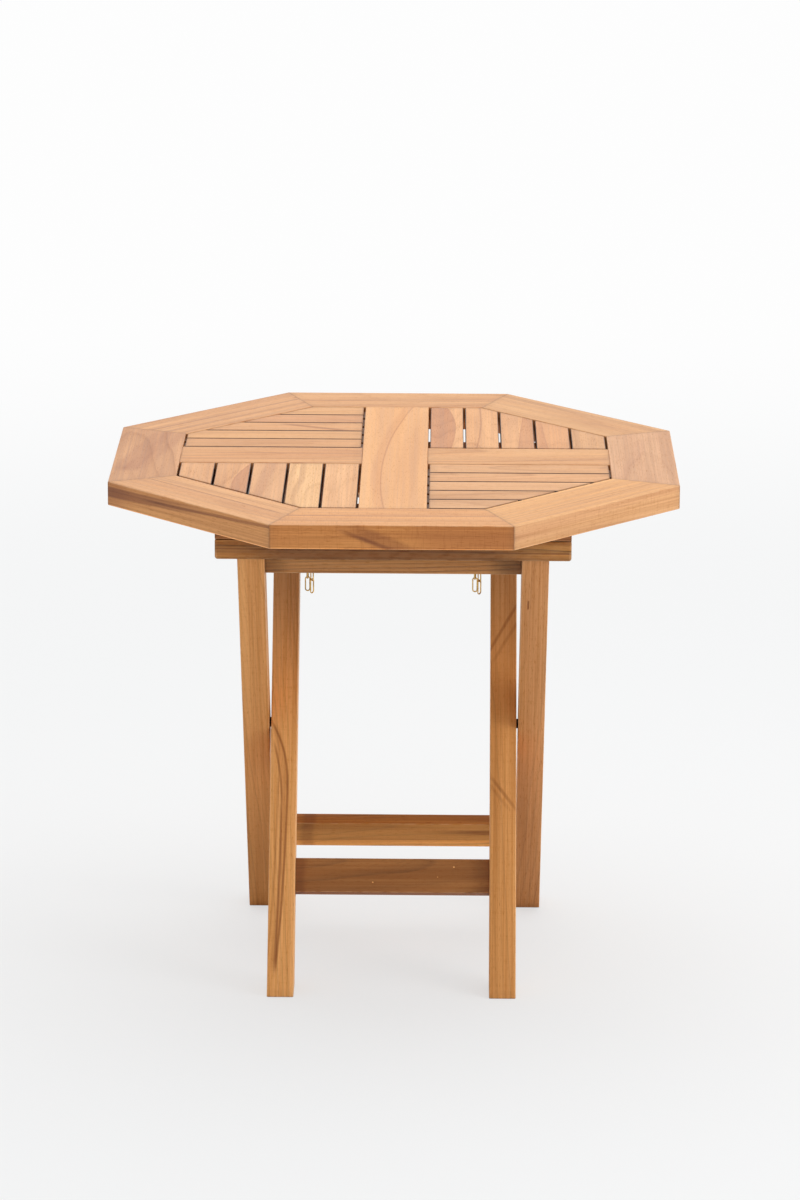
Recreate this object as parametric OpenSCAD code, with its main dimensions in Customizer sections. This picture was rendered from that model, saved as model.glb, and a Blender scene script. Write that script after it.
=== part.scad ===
// Folding garden table with an eight-sided slatted top on crossed leg frames.
// Origin on the floor under the centre of the top; +Z up, front towards -Y, millimetres.
// The outer leg frame has its top at the front and its feet at the back. The inner leg frame
// crosses it and folds about the two pivot bolts. The top is hinged to the outer frame's cap rail.

/* [Table top] */
// Distance across two opposite flats of the top
top_across = 800; // [780:5:830]
// Height of the top surface above the floor
table_h = 740; // [725:5:755]
// Thickness of the frame boards, the centre board and the cross rails
board_t = 34; // [32:1:36]
// Width of the frame boards, the centre board and the cross rails
board_w = 94; // [90:1:98]
// Open gap between slats and around each panel
slat_gap = 3; // [2.5:0.5:4]
// Thickness of a slat
slat_t = 20; // [18:1:22]
// Chamfer that eases the long edges of the boards
arris = 1.6; // [1:0.2:2]

/* [Bearers] */
// Height of the front batten from the boards down to the hinge joint
batten_h = 36; // [34:1:38]
// Thickness of the cap rail that lies on the outer legs
cap_t = 28; // [26:1:30]
// Depth of front batten and cap rail from front to back
cap_w = 68; // [66:1:70]
// Length of the battens and of the cap rail
cap_l = 497; // [490:1:510]
// Thickness of the rear batten that stops the inner frame
rear_batten_t = 23; // [20:1:26]
// Height of the two runners under the top
runner_h = 24; // [23:1:25]

/* [Leg frames] */
// Height of the pivot bolts above the floor
pivot_h = 341; // [336:1:346]
// Distance between front and back feet, centre to centre
foot_spread = 400; // [390:5:410]
// Width of a leg seen from the side
leg_w = 50; // [48:1:52]
// Thickness of a leg from left to right
leg_t = 38; // [36:1:40]
// Distance between the outer faces of the outer legs
frame_w = 436; // [430:2:440]
// Play between an outer leg and its inner leg, filled by the spacer
leg_play = 2.5; // [2:0.5:3]
// Height of the outer frame's lower rail at its middle
outer_rail_h = 138; // [132:1:146]
// Height of the inner frame's lower rail at its middle
inner_rail_h = 144; // [138:1:150]
// Width of the lower rails
rail_w = 50; // [46:1:54]
// Thickness of the lower rails and of the outer top rail
rail_t = 20; // [18:1:22]

/* [Hardware] */
// Diameter of the pivot bolts
bolt_d = 8; // [7:1:8]
// Distance of each hinge from the middle of the cap rail
hinge_x = 120; // [110:5:140]
// Distance of each chain from the middle of the top rail
chain_x = 118; // [112:1:122]
// Wire thickness of the chain links
link_wire = 1.8; // [1.6:0.1:1.8]

/* [Hidden] */
$fn = 48;

// Frame boards and panels
half = top_across / 2;
inner_half = half - board_w;
board_mid = board_w / 2;
under_z = table_h - board_t;
tan_mitre = tan(22.5);
glue_fit = 0.1;
tongue_t = 8;
tongue_l = 11;
tongue_down = 14;
groove_d = tongue_l + 1;
tongue_z = table_h - tongue_down;
slat_count = 5;
slat_w = (inner_half - board_mid - (slat_count + 1) * slat_gap) / slat_count;
slat_arris = 1.2;
slat_shoulder = 4;
dowel_d = 10;
dowel_l = 50;
dowel_room = 1;
mitre_in = inner_half / cos(22.5);
dowel_rows = [mitre_in + board_w / 3, mitre_in + board_w * 3 / 4];

// Leg frames: both lean from the pivot by the same angle
lean = atan(foot_spread / 2 / pivot_h);
frame_half = frame_w / 2;
outer_in = frame_half - leg_t;
inner_out = outer_in - leg_play;
inner_in = inner_out - leg_t;
leg_slant = leg_w / 2 / cos(lean);
leg_arris = 1.6;
foot_arris = 2;
tenon_arris = 0.8;

// Hinge joint between front batten and cap rail
joint_z = table_h - board_t - batten_h;
joint_gap = 1;
cap_z = joint_z - cap_t;
cap_lip = 8.5;
cap_front = -((cap_z - pivot_h) * tan(lean) + leg_slant + cap_lip);
cap_back = cap_front + cap_w;
cap_corner = 4;
cap_tenon_w = 30;
cap_tenon_h = 15;
leaf_t = 2;
leaf_l = 50;
leaf_w = 24;
leaf_gap = 0.1;
knuckle_r = 3.5;
knuckle_gap = 0.3;
knuckle_off = 0.5;
pin_d = 3;
pin_fit = 0.06;
hinge_y = cap_front - knuckle_r - knuckle_off;
leaf_end = cap_front + leaf_w;
leaf_screw_d = 3.5;
leaf_screw_head = 6.8;
leaf_screw_l = 19;
leaf_screw_in = 9;
leaf_screws = [-18, 0, 18];

// Screws up into the top: two rows in each batten, two in each runner
screw_d = 4.5;
screw_head = 9;
batten_screw_l = 54;
runner_screw_l = 42;
batten_screw_x = [25, 240];
end_screw_y = 8;
runner_screw_y = 25;

// Inner top rail: a bar whose rounded upper edge bears on the runners
bar_r = 12;
bar_h = 50;
stop_gap = 0.3;
runner_z = under_z - runner_h;
bar_top_gap = 0.3;
bar_z = runner_z - bar_r - bar_top_gap;
bar_reach = (bar_z - pivot_h) / cos(lean);
bar_y = (bar_z - pivot_h) * tan(lean);
rear_front = bar_y + bar_r + stop_gap;
rear_back = rear_front + rear_batten_t;
inner_top_drop = 6;
inner_top_z = joint_z - inner_top_drop;
bar_tenon_h = 18;
bar_tenon_up = 2;
runner_w = 20;
runner_x = 105;

// Rails between the legs: the outer top rail stands upright under the cap rail
top_rail_h = 31;
top_rail_set = 42;
top_rail_front = cap_front + top_rail_set;
top_rail_back = top_rail_front + rail_t;
tenon_l = 20;
tenon_t = 12;
shoulder = 7;
top_tenon_t = 10;
top_shoulder = 5;
top_tenon_back = 1;

// Pivot hardware
bolt_fit = 0.08;
sink_d = 22;
sink_depth = 9;
head_af = 13;
head_h = 5;
washer_d = 18;
washer_t = 1.6;
nut_h = 6.5;
spacer_d = 14;
face_play = 0.3;
bolt_past = 0.5;

// Chain: six links hanging doubled from one screw eye, three on each side of its ring
eye_r = 5.5;
eye_wire = 2;
eye_roll = 28;
eye_out = 13;
eye_shank_l = 14;
eye_up = 18.5;
eye_z = cap_z - top_rail_h + eye_up;
link_l = 22;
link_w = 8;
link_pitch = link_l - link_wire;
strand_x = 3.1;
hang_1 = 2.6;
hang_2 = 2.1;
turns_left = [140, 75, 0];
turns_right = [60, 125, 50];

wood_light = [0.87, 0.66, 0.45];
wood_warm = [0.78, 0.55, 0.34];
wood_dark = [0.62, 0.40, 0.22];
brass = [0.80, 0.64, 0.34];
black = [0.12, 0.11, 0.10];
steel = [0.72, 0.72, 0.70];

// Corner points of a rectangle w by h about its middle, with its corners cut by c
function cut_rect(w, h, c) = [
  [-w / 2 + c, -h / 2], [w / 2 - c, -h / 2], [w / 2, -h / 2 + c], [w / 2, h / 2 - c],
  [w / 2 - c, h / 2], [-w / 2 + c, h / 2], [-w / 2, h / 2 - c], [-w / 2, -h / 2 + c]
];

// Outline of a panel opening between centre board, cross rail and frame, moved inwards by d
function panel(d) = [
  [board_mid + d, board_mid + d],
  [inner_half - d, board_mid + d],
  [inner_half - d, (inner_half - d) * tan_mitre],
  [(inner_half - d) * tan_mitre, inner_half - d],
  [board_mid + d, inner_half - d]
];

// Bar along X with eased edges: section w (Y) by h (Z), from x0 to x1, middle at y and z
module bar_x(x0, x1, y, z, w, h, c = arris) {
  translate([x0, y, z])
    rotate([90, 0, 90])
      linear_extrude(x1 - x0)
        polygon(cut_rect(w, h, c));
}

// Bar along Y with eased edges: section w (X) by h (Z), from y0 to y1
module bar_y(y0, y1, x, z, w, h, c = arris) {
  translate([x, y1, z])
    rotate([90, 0, 0])
      linear_extrude(y1 - y0)
        polygon(cut_rect(w, h, c));
}

// Countersunk screw with its head's face at z = 0 and its point up
module wood_screw(d, head_d, l) {
  cylinder(h = (head_d - d) / 2, d1 = head_d, d2 = d);
  cylinder(h = l - d, d = d);
  translate([0, 0, l - d])
    cylinder(h = d, d1 = d, d2 = 0.4);
}

// Places its children on both sides, mirrored
module both_sides() {
  children();
  mirror([1, 0, 0])
    children();
}

// Table top

// Two dowels across one mitre, the one at the right-hand end of board k
module dowel_pair(k, d, l) {
  for (r = dowel_rows)
    rotate([0, 0, 45 * k + 22.5])
      translate([0, -r, table_h - board_t / 2])
        rotate([0, 90, 0])
          cylinder(h = l, d = d, center = true);
}

// Frame board k, counted anticlockwise from the front: eased bar cut by two mitres
module rim_board(k) {
  color(k % 4 == 2 ? wood_warm : wood_light)
    difference() {
      rotate([0, 0, 45 * k])
        difference() {
          intersection() {
            bar_x(-half, half, -half + board_mid, table_h - board_t / 2, board_w, board_t);
            translate([0, 0, under_z - 1])
              linear_extrude(board_t + 2)
                polygon([[0, 0], [-2 * half * tan_mitre, -2 * half], [2 * half * tan_mitre, -2 * half]]);
          }
          translate([-half, -inner_half - groove_d, tongue_z - glue_fit])
            cube([top_across, groove_d + 1, tongue_t + 2 * glue_fit]);
        }
      dowel_pair(k, dowel_d, dowel_l + dowel_room);
      dowel_pair(k - 1, dowel_d, dowel_l + dowel_room);
      if (k % 2 == 1)
        top_screw_places()
          wood_screw(screw_d, screw_head, batten_screw_l);
    }
}

module mitre_dowels() {
  color(wood_light)
    for (k = [0:7])
      dowel_pair(k, dowel_d, dowel_l);
}

module centre_board() {
  color(wood_light) {
    difference() {
      bar_y(-inner_half, inner_half, 0, table_h - board_t / 2, board_w, board_t);
      both_sides()
        translate([board_mid - groove_d, -inner_half - 1, tongue_z - glue_fit])
          cube([groove_d + 1, 2 * inner_half + 2, tongue_t + 2 * glue_fit]);
      top_screw_places()
        wood_screw(screw_d, screw_head, batten_screw_l);
    }
    for (side = [0, 180])
      rotate([0, 0, side])
        translate([-board_mid + groove_d, inner_half - 0.01, tongue_z])
          cube([board_w - 2 * groove_d, tongue_l + 0.01, tongue_t]);
  }
}

// Cross rail on the right; the left one is the same piece turned half round
module cross_rail(turn) {
  color(wood_light)
    rotate([0, 0, turn]) {
      difference() {
        bar_x(board_mid, inner_half, 0, table_h - board_t / 2, board_w, board_t);
        for (side = [0, 1])
          mirror([0, side, 0])
            translate([board_mid - 1, board_mid - groove_d, tongue_z - glue_fit])
              cube([inner_half - board_mid + 2, groove_d + 1, tongue_t + 2 * glue_fit]);
        runner_screw_places()
          wood_screw(screw_d, screw_head, runner_screw_l);
      }
      translate([board_mid - tongue_l, -board_mid + groove_d, tongue_z])
        cube([inner_half - board_mid + 2 * tongue_l, board_w - 2 * groove_d, tongue_t]);
    }
}

// Slat i of the panel that is turned by 90 degrees times q from the right back one
module slat(q, i) {
  x0 = board_mid + slat_gap + (i - 1) * (slat_w + slat_gap);
  mid = x0 + slat_w / 2;
  color(i % 2 == 0 ? wood_warm : wood_light)
    rotate([0, 0, 90 * q]) {
      intersection() {
        bar_y(0, half, mid, table_h - slat_t / 2, slat_w, slat_t, slat_arris);
        translate([0, 0, table_h - slat_t - 1])
          linear_extrude(slat_t + 2)
            polygon(panel(slat_gap));
      }
      intersection() {
        translate([x0 + slat_shoulder, 0, tongue_z])
          cube([slat_w - 2 * slat_shoulder, half, tongue_t]);
        translate([0, 0, tongue_z])
          linear_extrude(tongue_t)
            polygon(panel(-tongue_l));
      }
    }
}

// Bearers under the top

// The outer front screws stand near the front edge, where a frame board lies above
module top_screw_places() {
  both_sides() {
    translate([batten_screw_x[0], cap_front + cap_w / 2, joint_z + joint_gap / 2])
      children();
    translate([batten_screw_x[1], cap_front + end_screw_y, joint_z + joint_gap / 2])
      children();
    for (x = batten_screw_x)
      translate([x, rear_front + rear_batten_t / 2, joint_z])
        children();
  }
}

module runner_screw_places() {
  for (x = [-runner_x, runner_x], y = [-runner_screw_y, runner_screw_y])
    translate([x, y, runner_z])
      children();
}

module top_screws() {
  color(brass) {
    top_screw_places()
      wood_screw(screw_d, screw_head, batten_screw_l);
    runner_screw_places()
      wood_screw(screw_d, screw_head, runner_screw_l);
  }
}

module front_batten() {
  h = under_z - joint_z - joint_gap / 2;
  color(wood_dark)
    difference() {
      bar_x(-cap_l / 2, cap_l / 2, (cap_front + cap_back) / 2, under_z - h / 2, cap_w, h);
      top_screw_places()
        wood_screw(screw_d, screw_head, batten_screw_l);
      for (side = [-1, 1])
        leaf_recess(side, joint_z);
      hinge_screws(1);
    }
}

module rear_batten() {
  color(wood_dark)
    difference() {
      bar_x(-cap_l / 2, cap_l / 2, (rear_front + rear_back) / 2, (under_z + joint_z) / 2,
            rear_batten_t, under_z - joint_z);
      top_screw_places()
        wood_screw(screw_d, screw_head, batten_screw_l);
    }
}

module runner(side) {
  color(wood_warm)
    difference() {
      bar_y(cap_back, rear_front, side * runner_x, (under_z + runner_z) / 2,
            runner_w, runner_h, slat_arris);
      runner_screw_places()
        wood_screw(screw_d, screw_head, runner_screw_l);
    }
}

// Hinges: up = 1 for the leaves on the top, up = -1 for those on the cap rail

// Recess for the two leaves of one hinge, above and below the joint
module leaf_recess(side, z) {
  translate([side * hinge_x - leaf_l / 2, cap_front - 1, z - leaf_gap - leaf_t])
    cube([leaf_l, leaf_end - cap_front + 1, 2 * (leaf_t + leaf_gap)]);
}

// Screws of both hinges on one side of the joint
module hinge_screws(up) {
  for (side = [-1, 1], x = leaf_screws)
    translate([side * hinge_x + x, leaf_end - leaf_screw_in, joint_z + up * leaf_gap])
      mirror([0, 0, up > 0 ? 0 : 1])
        wood_screw(leaf_screw_d, leaf_screw_head, leaf_screw_l);
}

// One leaf: a plate with its knuckles; the middle knuckle is on the upper leaf
module leaf(side, up) {
  third = leaf_l / 3;
  spans = up > 0 ? [[-third / 2, third / 2]] : [[-leaf_l / 2, -third / 2], [third / 2, leaf_l / 2]];
  plate_y = hinge_y + knuckle_r + knuckle_gap;
  translate([side * hinge_x, 0, joint_z])
    difference() {
      union() {
        translate([-leaf_l / 2, plate_y, up > 0 ? leaf_gap : -leaf_gap - leaf_t])
          cube([leaf_l, leaf_end - plate_y, leaf_t]);
        for (s = spans) {
          translate([s[0] + knuckle_gap / 2, hinge_y, 0])
            rotate([0, 90, 0])
              cylinder(h = s[1] - s[0] - knuckle_gap, r = knuckle_r);
          translate([s[0] + knuckle_gap / 2, hinge_y, up > 0 ? leaf_gap : -leaf_gap - leaf_t])
            cube([s[1] - s[0] - knuckle_gap, knuckle_r + 2, leaf_t]);
        }
      }
      translate([-leaf_l / 2 - 1, hinge_y, 0])
        rotate([0, 90, 0])
          cylinder(h = leaf_l + 2, d = pin_d + 2 * pin_fit);
      translate([-side * hinge_x, 0, -joint_z])
        hinge_screws(up);
    }
}

module hinge_leaves(up) {
  color(brass)
    for (side = [-1, 1])
      leaf(side, up);
}

module hinge_screw_set(up) {
  color(steel)
    hinge_screws(up);
}

module hinge_pins() {
  color(brass)
    for (side = [-1, 1])
      translate([side * hinge_x - leaf_l / 2, hinge_y, joint_z])
        rotate([0, 90, 0])
          cylinder(h = leaf_l, d = pin_d);
}

// Outer leg frame

// Placement of what lies in the plane of a leg frame: way = 1 outer frame, way = -1 inner frame
module frame_place(way) {
  translate([0, 0, pivot_h])
    rotate([way * lean, 0, 0])
      children();
}

// Leg between x0 and x1, cut level at the floor and at top_z, with an eased foot
module leg_body(way, x0, x1, top_z) {
  foot = way * foot_spread / 2;
  intersection() {
    frame_place(way)
      translate([(x0 + x1) / 2, 0, -table_h])
        linear_extrude(2 * table_h)
          polygon(cut_rect(x1 - x0, leg_w, leg_arris));
    translate([0, table_h, 0])
      rotate([90, 0, 0])
        linear_extrude(2 * table_h)
          polygon([[x0 + foot_arris, 0], [x1 - foot_arris, 0], [x1, foot_arris], [x1, top_z],
                   [x0, top_z], [x0, foot_arris]]);
    translate([x0 - 1, 0, 0])
      rotate([90, 0, 90])
        linear_extrude(x1 - x0 + 2)
          polygon([[foot - leg_slant + foot_arris, 0], [foot + leg_slant - foot_arris, 0],
                   [foot + leg_slant + table_h, table_h + foot_arris],
                   [foot - leg_slant - table_h, table_h + foot_arris]]);
  }
}

// Tenon on top of an outer leg, along the leg, up into the cap rail
module cap_tenon(grow) {
  z0 = cap_z - 0.01;
  intersection() {
    frame_place(1)
      translate([outer_in + shoulder - grow, -cap_tenon_w / 2 - grow, 0])
        cube([leg_t - 2 * shoulder + 2 * grow, cap_tenon_w + 2 * grow, table_h]);
    translate([0, -table_h, z0])
      cube([frame_w, table_h, cap_tenon_h + grow]);
  }
}

// Centre of a lower rail measured down the leg from the pivot
function rail_down(h) = (pivot_h - h) / cos(lean);

// Lower rail of a frame between faces at plus and minus x, with tenons into the legs
module lower_rail_body(way, x, h, grow) {
  frame_place(way)
    translate([0, 0, -rail_down(h)]) {
      if (grow == 0)
        bar_x(-x, x, 0, 0, rail_t, rail_w);
      bar_x(-x - tenon_l - grow, x + tenon_l + grow, 0, 0,
            tenon_t + 2 * grow, rail_w - 2 * shoulder + 2 * grow, tenon_arris);
    }
}

module outer_top_rail_body(grow) {
  z = cap_z - top_rail_h / 2;
  y = (top_rail_front + top_rail_back) / 2;
  if (grow == 0)
    bar_x(-outer_in, outer_in, y, z, rail_t, top_rail_h, leg_arris);
  bar_x(-outer_in - tenon_l - grow, outer_in + tenon_l + grow, y + top_tenon_back, z,
        top_tenon_t + 2 * grow, top_rail_h - 2 * top_shoulder + 2 * grow, tenon_arris);
}

// Bore for the bolt through both legs, with the sinking for head or nut
module pivot_cut(x0, x1, sink_x, sink_way) {
  translate([x0 - 1, 0, pivot_h])
    rotate([0, 90, 0])
      cylinder(h = x1 - x0 + 2, d = bolt_d + 2 * bolt_fit);
  translate([sink_x, 0, pivot_h])
    rotate([0, sink_way * 90, 0])
      cylinder(h = sink_depth, d = sink_d);
}

module outer_leg() {
  color(wood_warm)
    difference() {
      union() {
        leg_body(1, outer_in, frame_half, cap_z);
        cap_tenon(0);
      }
      lower_rail_body(1, outer_in, outer_rail_h, glue_fit);
      outer_top_rail_body(glue_fit);
      pivot_cut(outer_in, frame_half, frame_half + 0.01, -1);
    }
}

module cap_rail() {
  h = cap_t - joint_gap / 2;
  r = cap_corner;
  corner = [for (a = [-90:15:0]) [cap_l / 2 - r + r * cos(a), cap_z + r + r * sin(a)]];
  color(wood_dark)
    difference() {
      intersection() {
        bar_x(-cap_l / 2, cap_l / 2, (cap_front + cap_back) / 2, cap_z + h / 2, cap_w, h);
        translate([0, cap_back + 1, 0])
          rotate([90, 0, 0])
            linear_extrude(cap_w + 2)
              polygon(concat(corner, [[cap_l / 2, cap_z + h], [-cap_l / 2, cap_z + h]],
                             [for (i = [len(corner) - 1:-1:0]) [-corner[i][0], corner[i][1]]]));
      }
      both_sides()
        cap_tenon(glue_fit);
      for (side = [-1, 1])
        leaf_recess(side, joint_z);
      hinge_screws(-1);
    }
}

module outer_top_rail() {
  color(wood_dark)
    difference() {
      outer_top_rail_body(0);
      eye_places()
        eye_shank();
    }
}

module outer_lower_rail() {
  color(wood_dark)
    lower_rail_body(1, outer_in, outer_rail_h, 0);
}

module pivot_bolts() {
  head_x = frame_half - sink_depth + washer_t;
  tip_x = inner_in + sink_depth - washer_t - face_play - nut_h - bolt_past;
  color(steel)
    both_sides()
      translate([0, 0, pivot_h])
        rotate([0, 90, 0]) {
          translate([0, 0, tip_x])
            cylinder(h = head_x - tip_x + 1, d = bolt_d);
          translate([0, 0, head_x])
            cylinder(h = head_h, d = head_af / cos(30), $fn = 6);
        }
}

module ring_x(x, l, d) {
  both_sides()
    translate([x, 0, pivot_h])
      rotate([0, 90, 0])
        difference() {
          cylinder(h = l, d = d);
          translate([0, 0, -1])
            cylinder(h = l + 2, d = bolt_d);
        }
}

module pivot_spacers() {
  color(black)
    ring_x(inner_out + face_play, leg_play - face_play, spacer_d);
}

module pivot_washers() {
  color(steel) {
    ring_x(frame_half - sink_depth + 0.01, washer_t - 0.01, washer_d);
    ring_x(inner_in + sink_depth - washer_t - face_play, washer_t, washer_d);
  }
}

module pivot_nuts() {
  color(steel)
    both_sides()
      translate([inner_in + sink_depth - washer_t - face_play - nut_h, 0, pivot_h])
        rotate([0, 90, 0])
          difference() {
            cylinder(h = nut_h, d = head_af / cos(30), $fn = 6);
            translate([0, 0, -1])
              cylinder(h = nut_h + 2, d = bolt_d);
          }
}

// Screw eyes and chains

module eye_places() {
  for (side = [-1, 1])
    translate([side * chain_x, top_rail_back, eye_z])
      rotate([0, eye_roll, 0])
        children();
}

module eye_shank() {
  rotate([90, 0, 0])
    cylinder(h = eye_shank_l, d = eye_wire);
}

// Ring in a plane through the shank, so a link hangs over its rear side
module chain_eyes() {
  color(brass)
    eye_places() {
      eye_shank();
      translate([0, eye_out - eye_r, 0])
        rotate_extrude()
          translate([eye_r, 0])
            circle(d = eye_wire, $fn = 20);
      translate([0, -0.01, 0])
        rotate([-90, 0, 0])
          cylinder(h = eye_out - 2 * eye_r + eye_wire / 4, d = eye_wire);
    }
}

// Link in the XZ plane about its middle
module chain_link() {
  r = (link_w - link_wire) / 2;
  s = (link_l - link_w) / 2;
  for (side = [-1, 1])
    translate([side * r, 0, -s])
      cylinder(h = 2 * s, d = link_wire, $fn = 16);
  for (side = [0, 1])
    mirror([0, 0, side])
      translate([0, 0, s])
        rotate([90, 0, 0])
          rotate_extrude(angle = 180)
            translate([r, 0])
              circle(d = link_wire, $fn = 16);
}

// Strand on one side of the eye's ring: three links, each turned about the vertical
module strand(side, turns) {
  across = strand_x / cos(eye_roll);
  wire_y = eye_out - eye_r + sqrt(eye_r * eye_r - across * across);
  top_z = -side * across * sin(eye_roll) + hang_1;
  for (i = [0:2])
    translate([side * strand_x, wire_y, top_z - link_pitch / 2 - i * (link_pitch - hang_2)])
      rotate([0, 0, turns[i]])
        chain_link();
}

module chain(side) {
  color(brass)
    translate([side * chain_x, top_rail_back, eye_z]) {
      strand(-1, turns_left);
      strand(1, turns_right);
    }
}

// Inner leg frame

// Round-topped bar of the inner top rail between faces at plus and minus x
module inner_top_rail_body(x, grow) {
  frame_place(-1)
    translate([0, 0, bar_reach]) {
      if (grow == 0) {
        rotate([0, 90, 0])
          translate([0, 0, -x])
            cylinder(h = 2 * x, r = bar_r);
        translate([-x, -bar_r, bar_r - bar_h])
          cube([2 * x, 2 * bar_r, bar_h - bar_r]);
      }
      translate([-x - tenon_l - grow, -tenon_t / 2 - grow, bar_r - bar_h + bar_tenon_up - grow])
        cube([2 * (x + tenon_l + grow), tenon_t + 2 * grow, bar_tenon_h + 2 * grow]);
    }
}

module inner_leg() {
  color(wood_warm)
    difference() {
      leg_body(-1, inner_in, inner_out, inner_top_z);
      lower_rail_body(-1, inner_in, inner_rail_h, glue_fit);
      inner_top_rail_body(inner_in, glue_fit);
      pivot_cut(inner_in, inner_out, inner_in - 0.01, 1);
    }
}

module inner_top_rail() {
  color(wood_dark)
    inner_top_rail_body(inner_in, 0);
}

module inner_lower_rail() {
  color(wood_dark)
    lower_rail_body(-1, inner_in, inner_rail_h, 0);
}

rim_board(0);  // rim_front
rim_board(1);  // rim_front_right
rim_board(2);  // rim_right
rim_board(3);  // rim_back_right
rim_board(4);  // rim_back
rim_board(5);  // rim_back_left
rim_board(6);  // rim_left
rim_board(7);  // rim_front_left
centre_board();
cross_rail(180);  // cross_rail_left
cross_rail(0);  // cross_rail_right
slat(0, 1);  // slat_right_back_1
slat(0, 2);  // slat_right_back_2
slat(0, 3);  // slat_right_back_3
slat(0, 4);  // slat_right_back_4
slat(0, 5);  // slat_right_back_5
slat(1, 1);  // slat_left_back_1
slat(1, 2);  // slat_left_back_2
slat(1, 3);  // slat_left_back_3
slat(1, 4);  // slat_left_back_4
slat(1, 5);  // slat_left_back_5
slat(2, 1);  // slat_left_front_1
slat(2, 2);  // slat_left_front_2
slat(2, 3);  // slat_left_front_3
slat(2, 4);  // slat_left_front_4
slat(2, 5);  // slat_left_front_5
slat(3, 1);  // slat_right_front_1
slat(3, 2);  // slat_right_front_2
slat(3, 3);  // slat_right_front_3
slat(3, 4);  // slat_right_front_4
slat(3, 5);  // slat_right_front_5
mitre_dowels();
front_batten();
rear_batten();
runner(-1);  // runner_left
runner(1);  // runner_right
top_screws();
hinge_leaves(1);  // hinge_upper_leaves
hinge_screw_set(1);  // hinge_upper_screws
hinge_pins();
hinge_leaves(-1);  // hinge_lower_leaves
hinge_screw_set(-1);  // hinge_lower_screws
cap_rail();
mirror([1, 0, 0]) outer_leg();  // outer_leg_left
outer_leg();  // outer_leg_right
outer_top_rail();
outer_lower_rail();
pivot_bolts();
pivot_spacers();
pivot_washers();
pivot_nuts();
chain_eyes();
chain(-1);  // chain_left
chain(1);  // chain_right
mirror([1, 0, 0]) inner_leg();  // inner_leg_left
inner_leg();  // inner_leg_right
inner_top_rail();
inner_lower_rail();
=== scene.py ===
"""Folding octagonal garden table in oiled teak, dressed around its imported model.

Every board is a profile carried along its grain, and takes its colour from a
solid teak pattern that is turned to lie along that board. Lengths are metres.
"""

import logging
import math
from collections.abc import Callable
from dataclasses import dataclass, field, replace
from enum import Enum
from types import SimpleNamespace

import bmesh
import bpy
import numpy as np
from mathutils import Matrix, Vector


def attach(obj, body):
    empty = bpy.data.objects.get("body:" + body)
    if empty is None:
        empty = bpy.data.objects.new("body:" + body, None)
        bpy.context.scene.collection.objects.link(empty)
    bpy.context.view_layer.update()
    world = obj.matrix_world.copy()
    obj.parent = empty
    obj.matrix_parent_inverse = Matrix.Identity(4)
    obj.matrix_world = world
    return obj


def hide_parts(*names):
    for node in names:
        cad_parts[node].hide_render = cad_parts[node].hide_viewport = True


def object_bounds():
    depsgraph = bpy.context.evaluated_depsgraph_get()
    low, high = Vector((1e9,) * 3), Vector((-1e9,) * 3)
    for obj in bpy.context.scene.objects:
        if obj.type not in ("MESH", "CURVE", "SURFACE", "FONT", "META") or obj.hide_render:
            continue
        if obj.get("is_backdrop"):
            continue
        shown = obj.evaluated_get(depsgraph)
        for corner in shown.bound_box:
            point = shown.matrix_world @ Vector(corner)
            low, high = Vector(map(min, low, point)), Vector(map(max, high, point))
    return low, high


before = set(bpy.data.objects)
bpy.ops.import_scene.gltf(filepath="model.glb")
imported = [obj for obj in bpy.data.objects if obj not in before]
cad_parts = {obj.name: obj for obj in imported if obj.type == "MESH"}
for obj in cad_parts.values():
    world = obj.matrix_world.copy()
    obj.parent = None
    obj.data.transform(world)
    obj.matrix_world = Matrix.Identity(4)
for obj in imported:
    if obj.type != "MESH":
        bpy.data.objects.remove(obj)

LOG = logging.getLogger("garden_table")
Array = np.ndarray
RGB = tuple[float, float, float]
EndCut = Callable[[Array, Array], Array]

X, Y, Z = np.eye(3)
HANDS = ((-1, "left"), (1, "right"))
TAN_MITRE = math.tan(math.radians(22.5))
CLEAR = 0.0001  # a board ends this much short of the board it meets
MITRE_CLEAR = 0.00008  # the same at a mitre
END_TURNS = (5.0, 35.0, 65.0, 90.0)  # angles of the rings on an end arris
END_RINGS = (0.0008, 0.0025, 0.014)  # further rings, from the end
SWELL_LONG, SWELL_WIDE = 0.31, 0.07  # lengths of the waves of a planed face


# --------------------------------------------------------------- sizes


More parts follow.
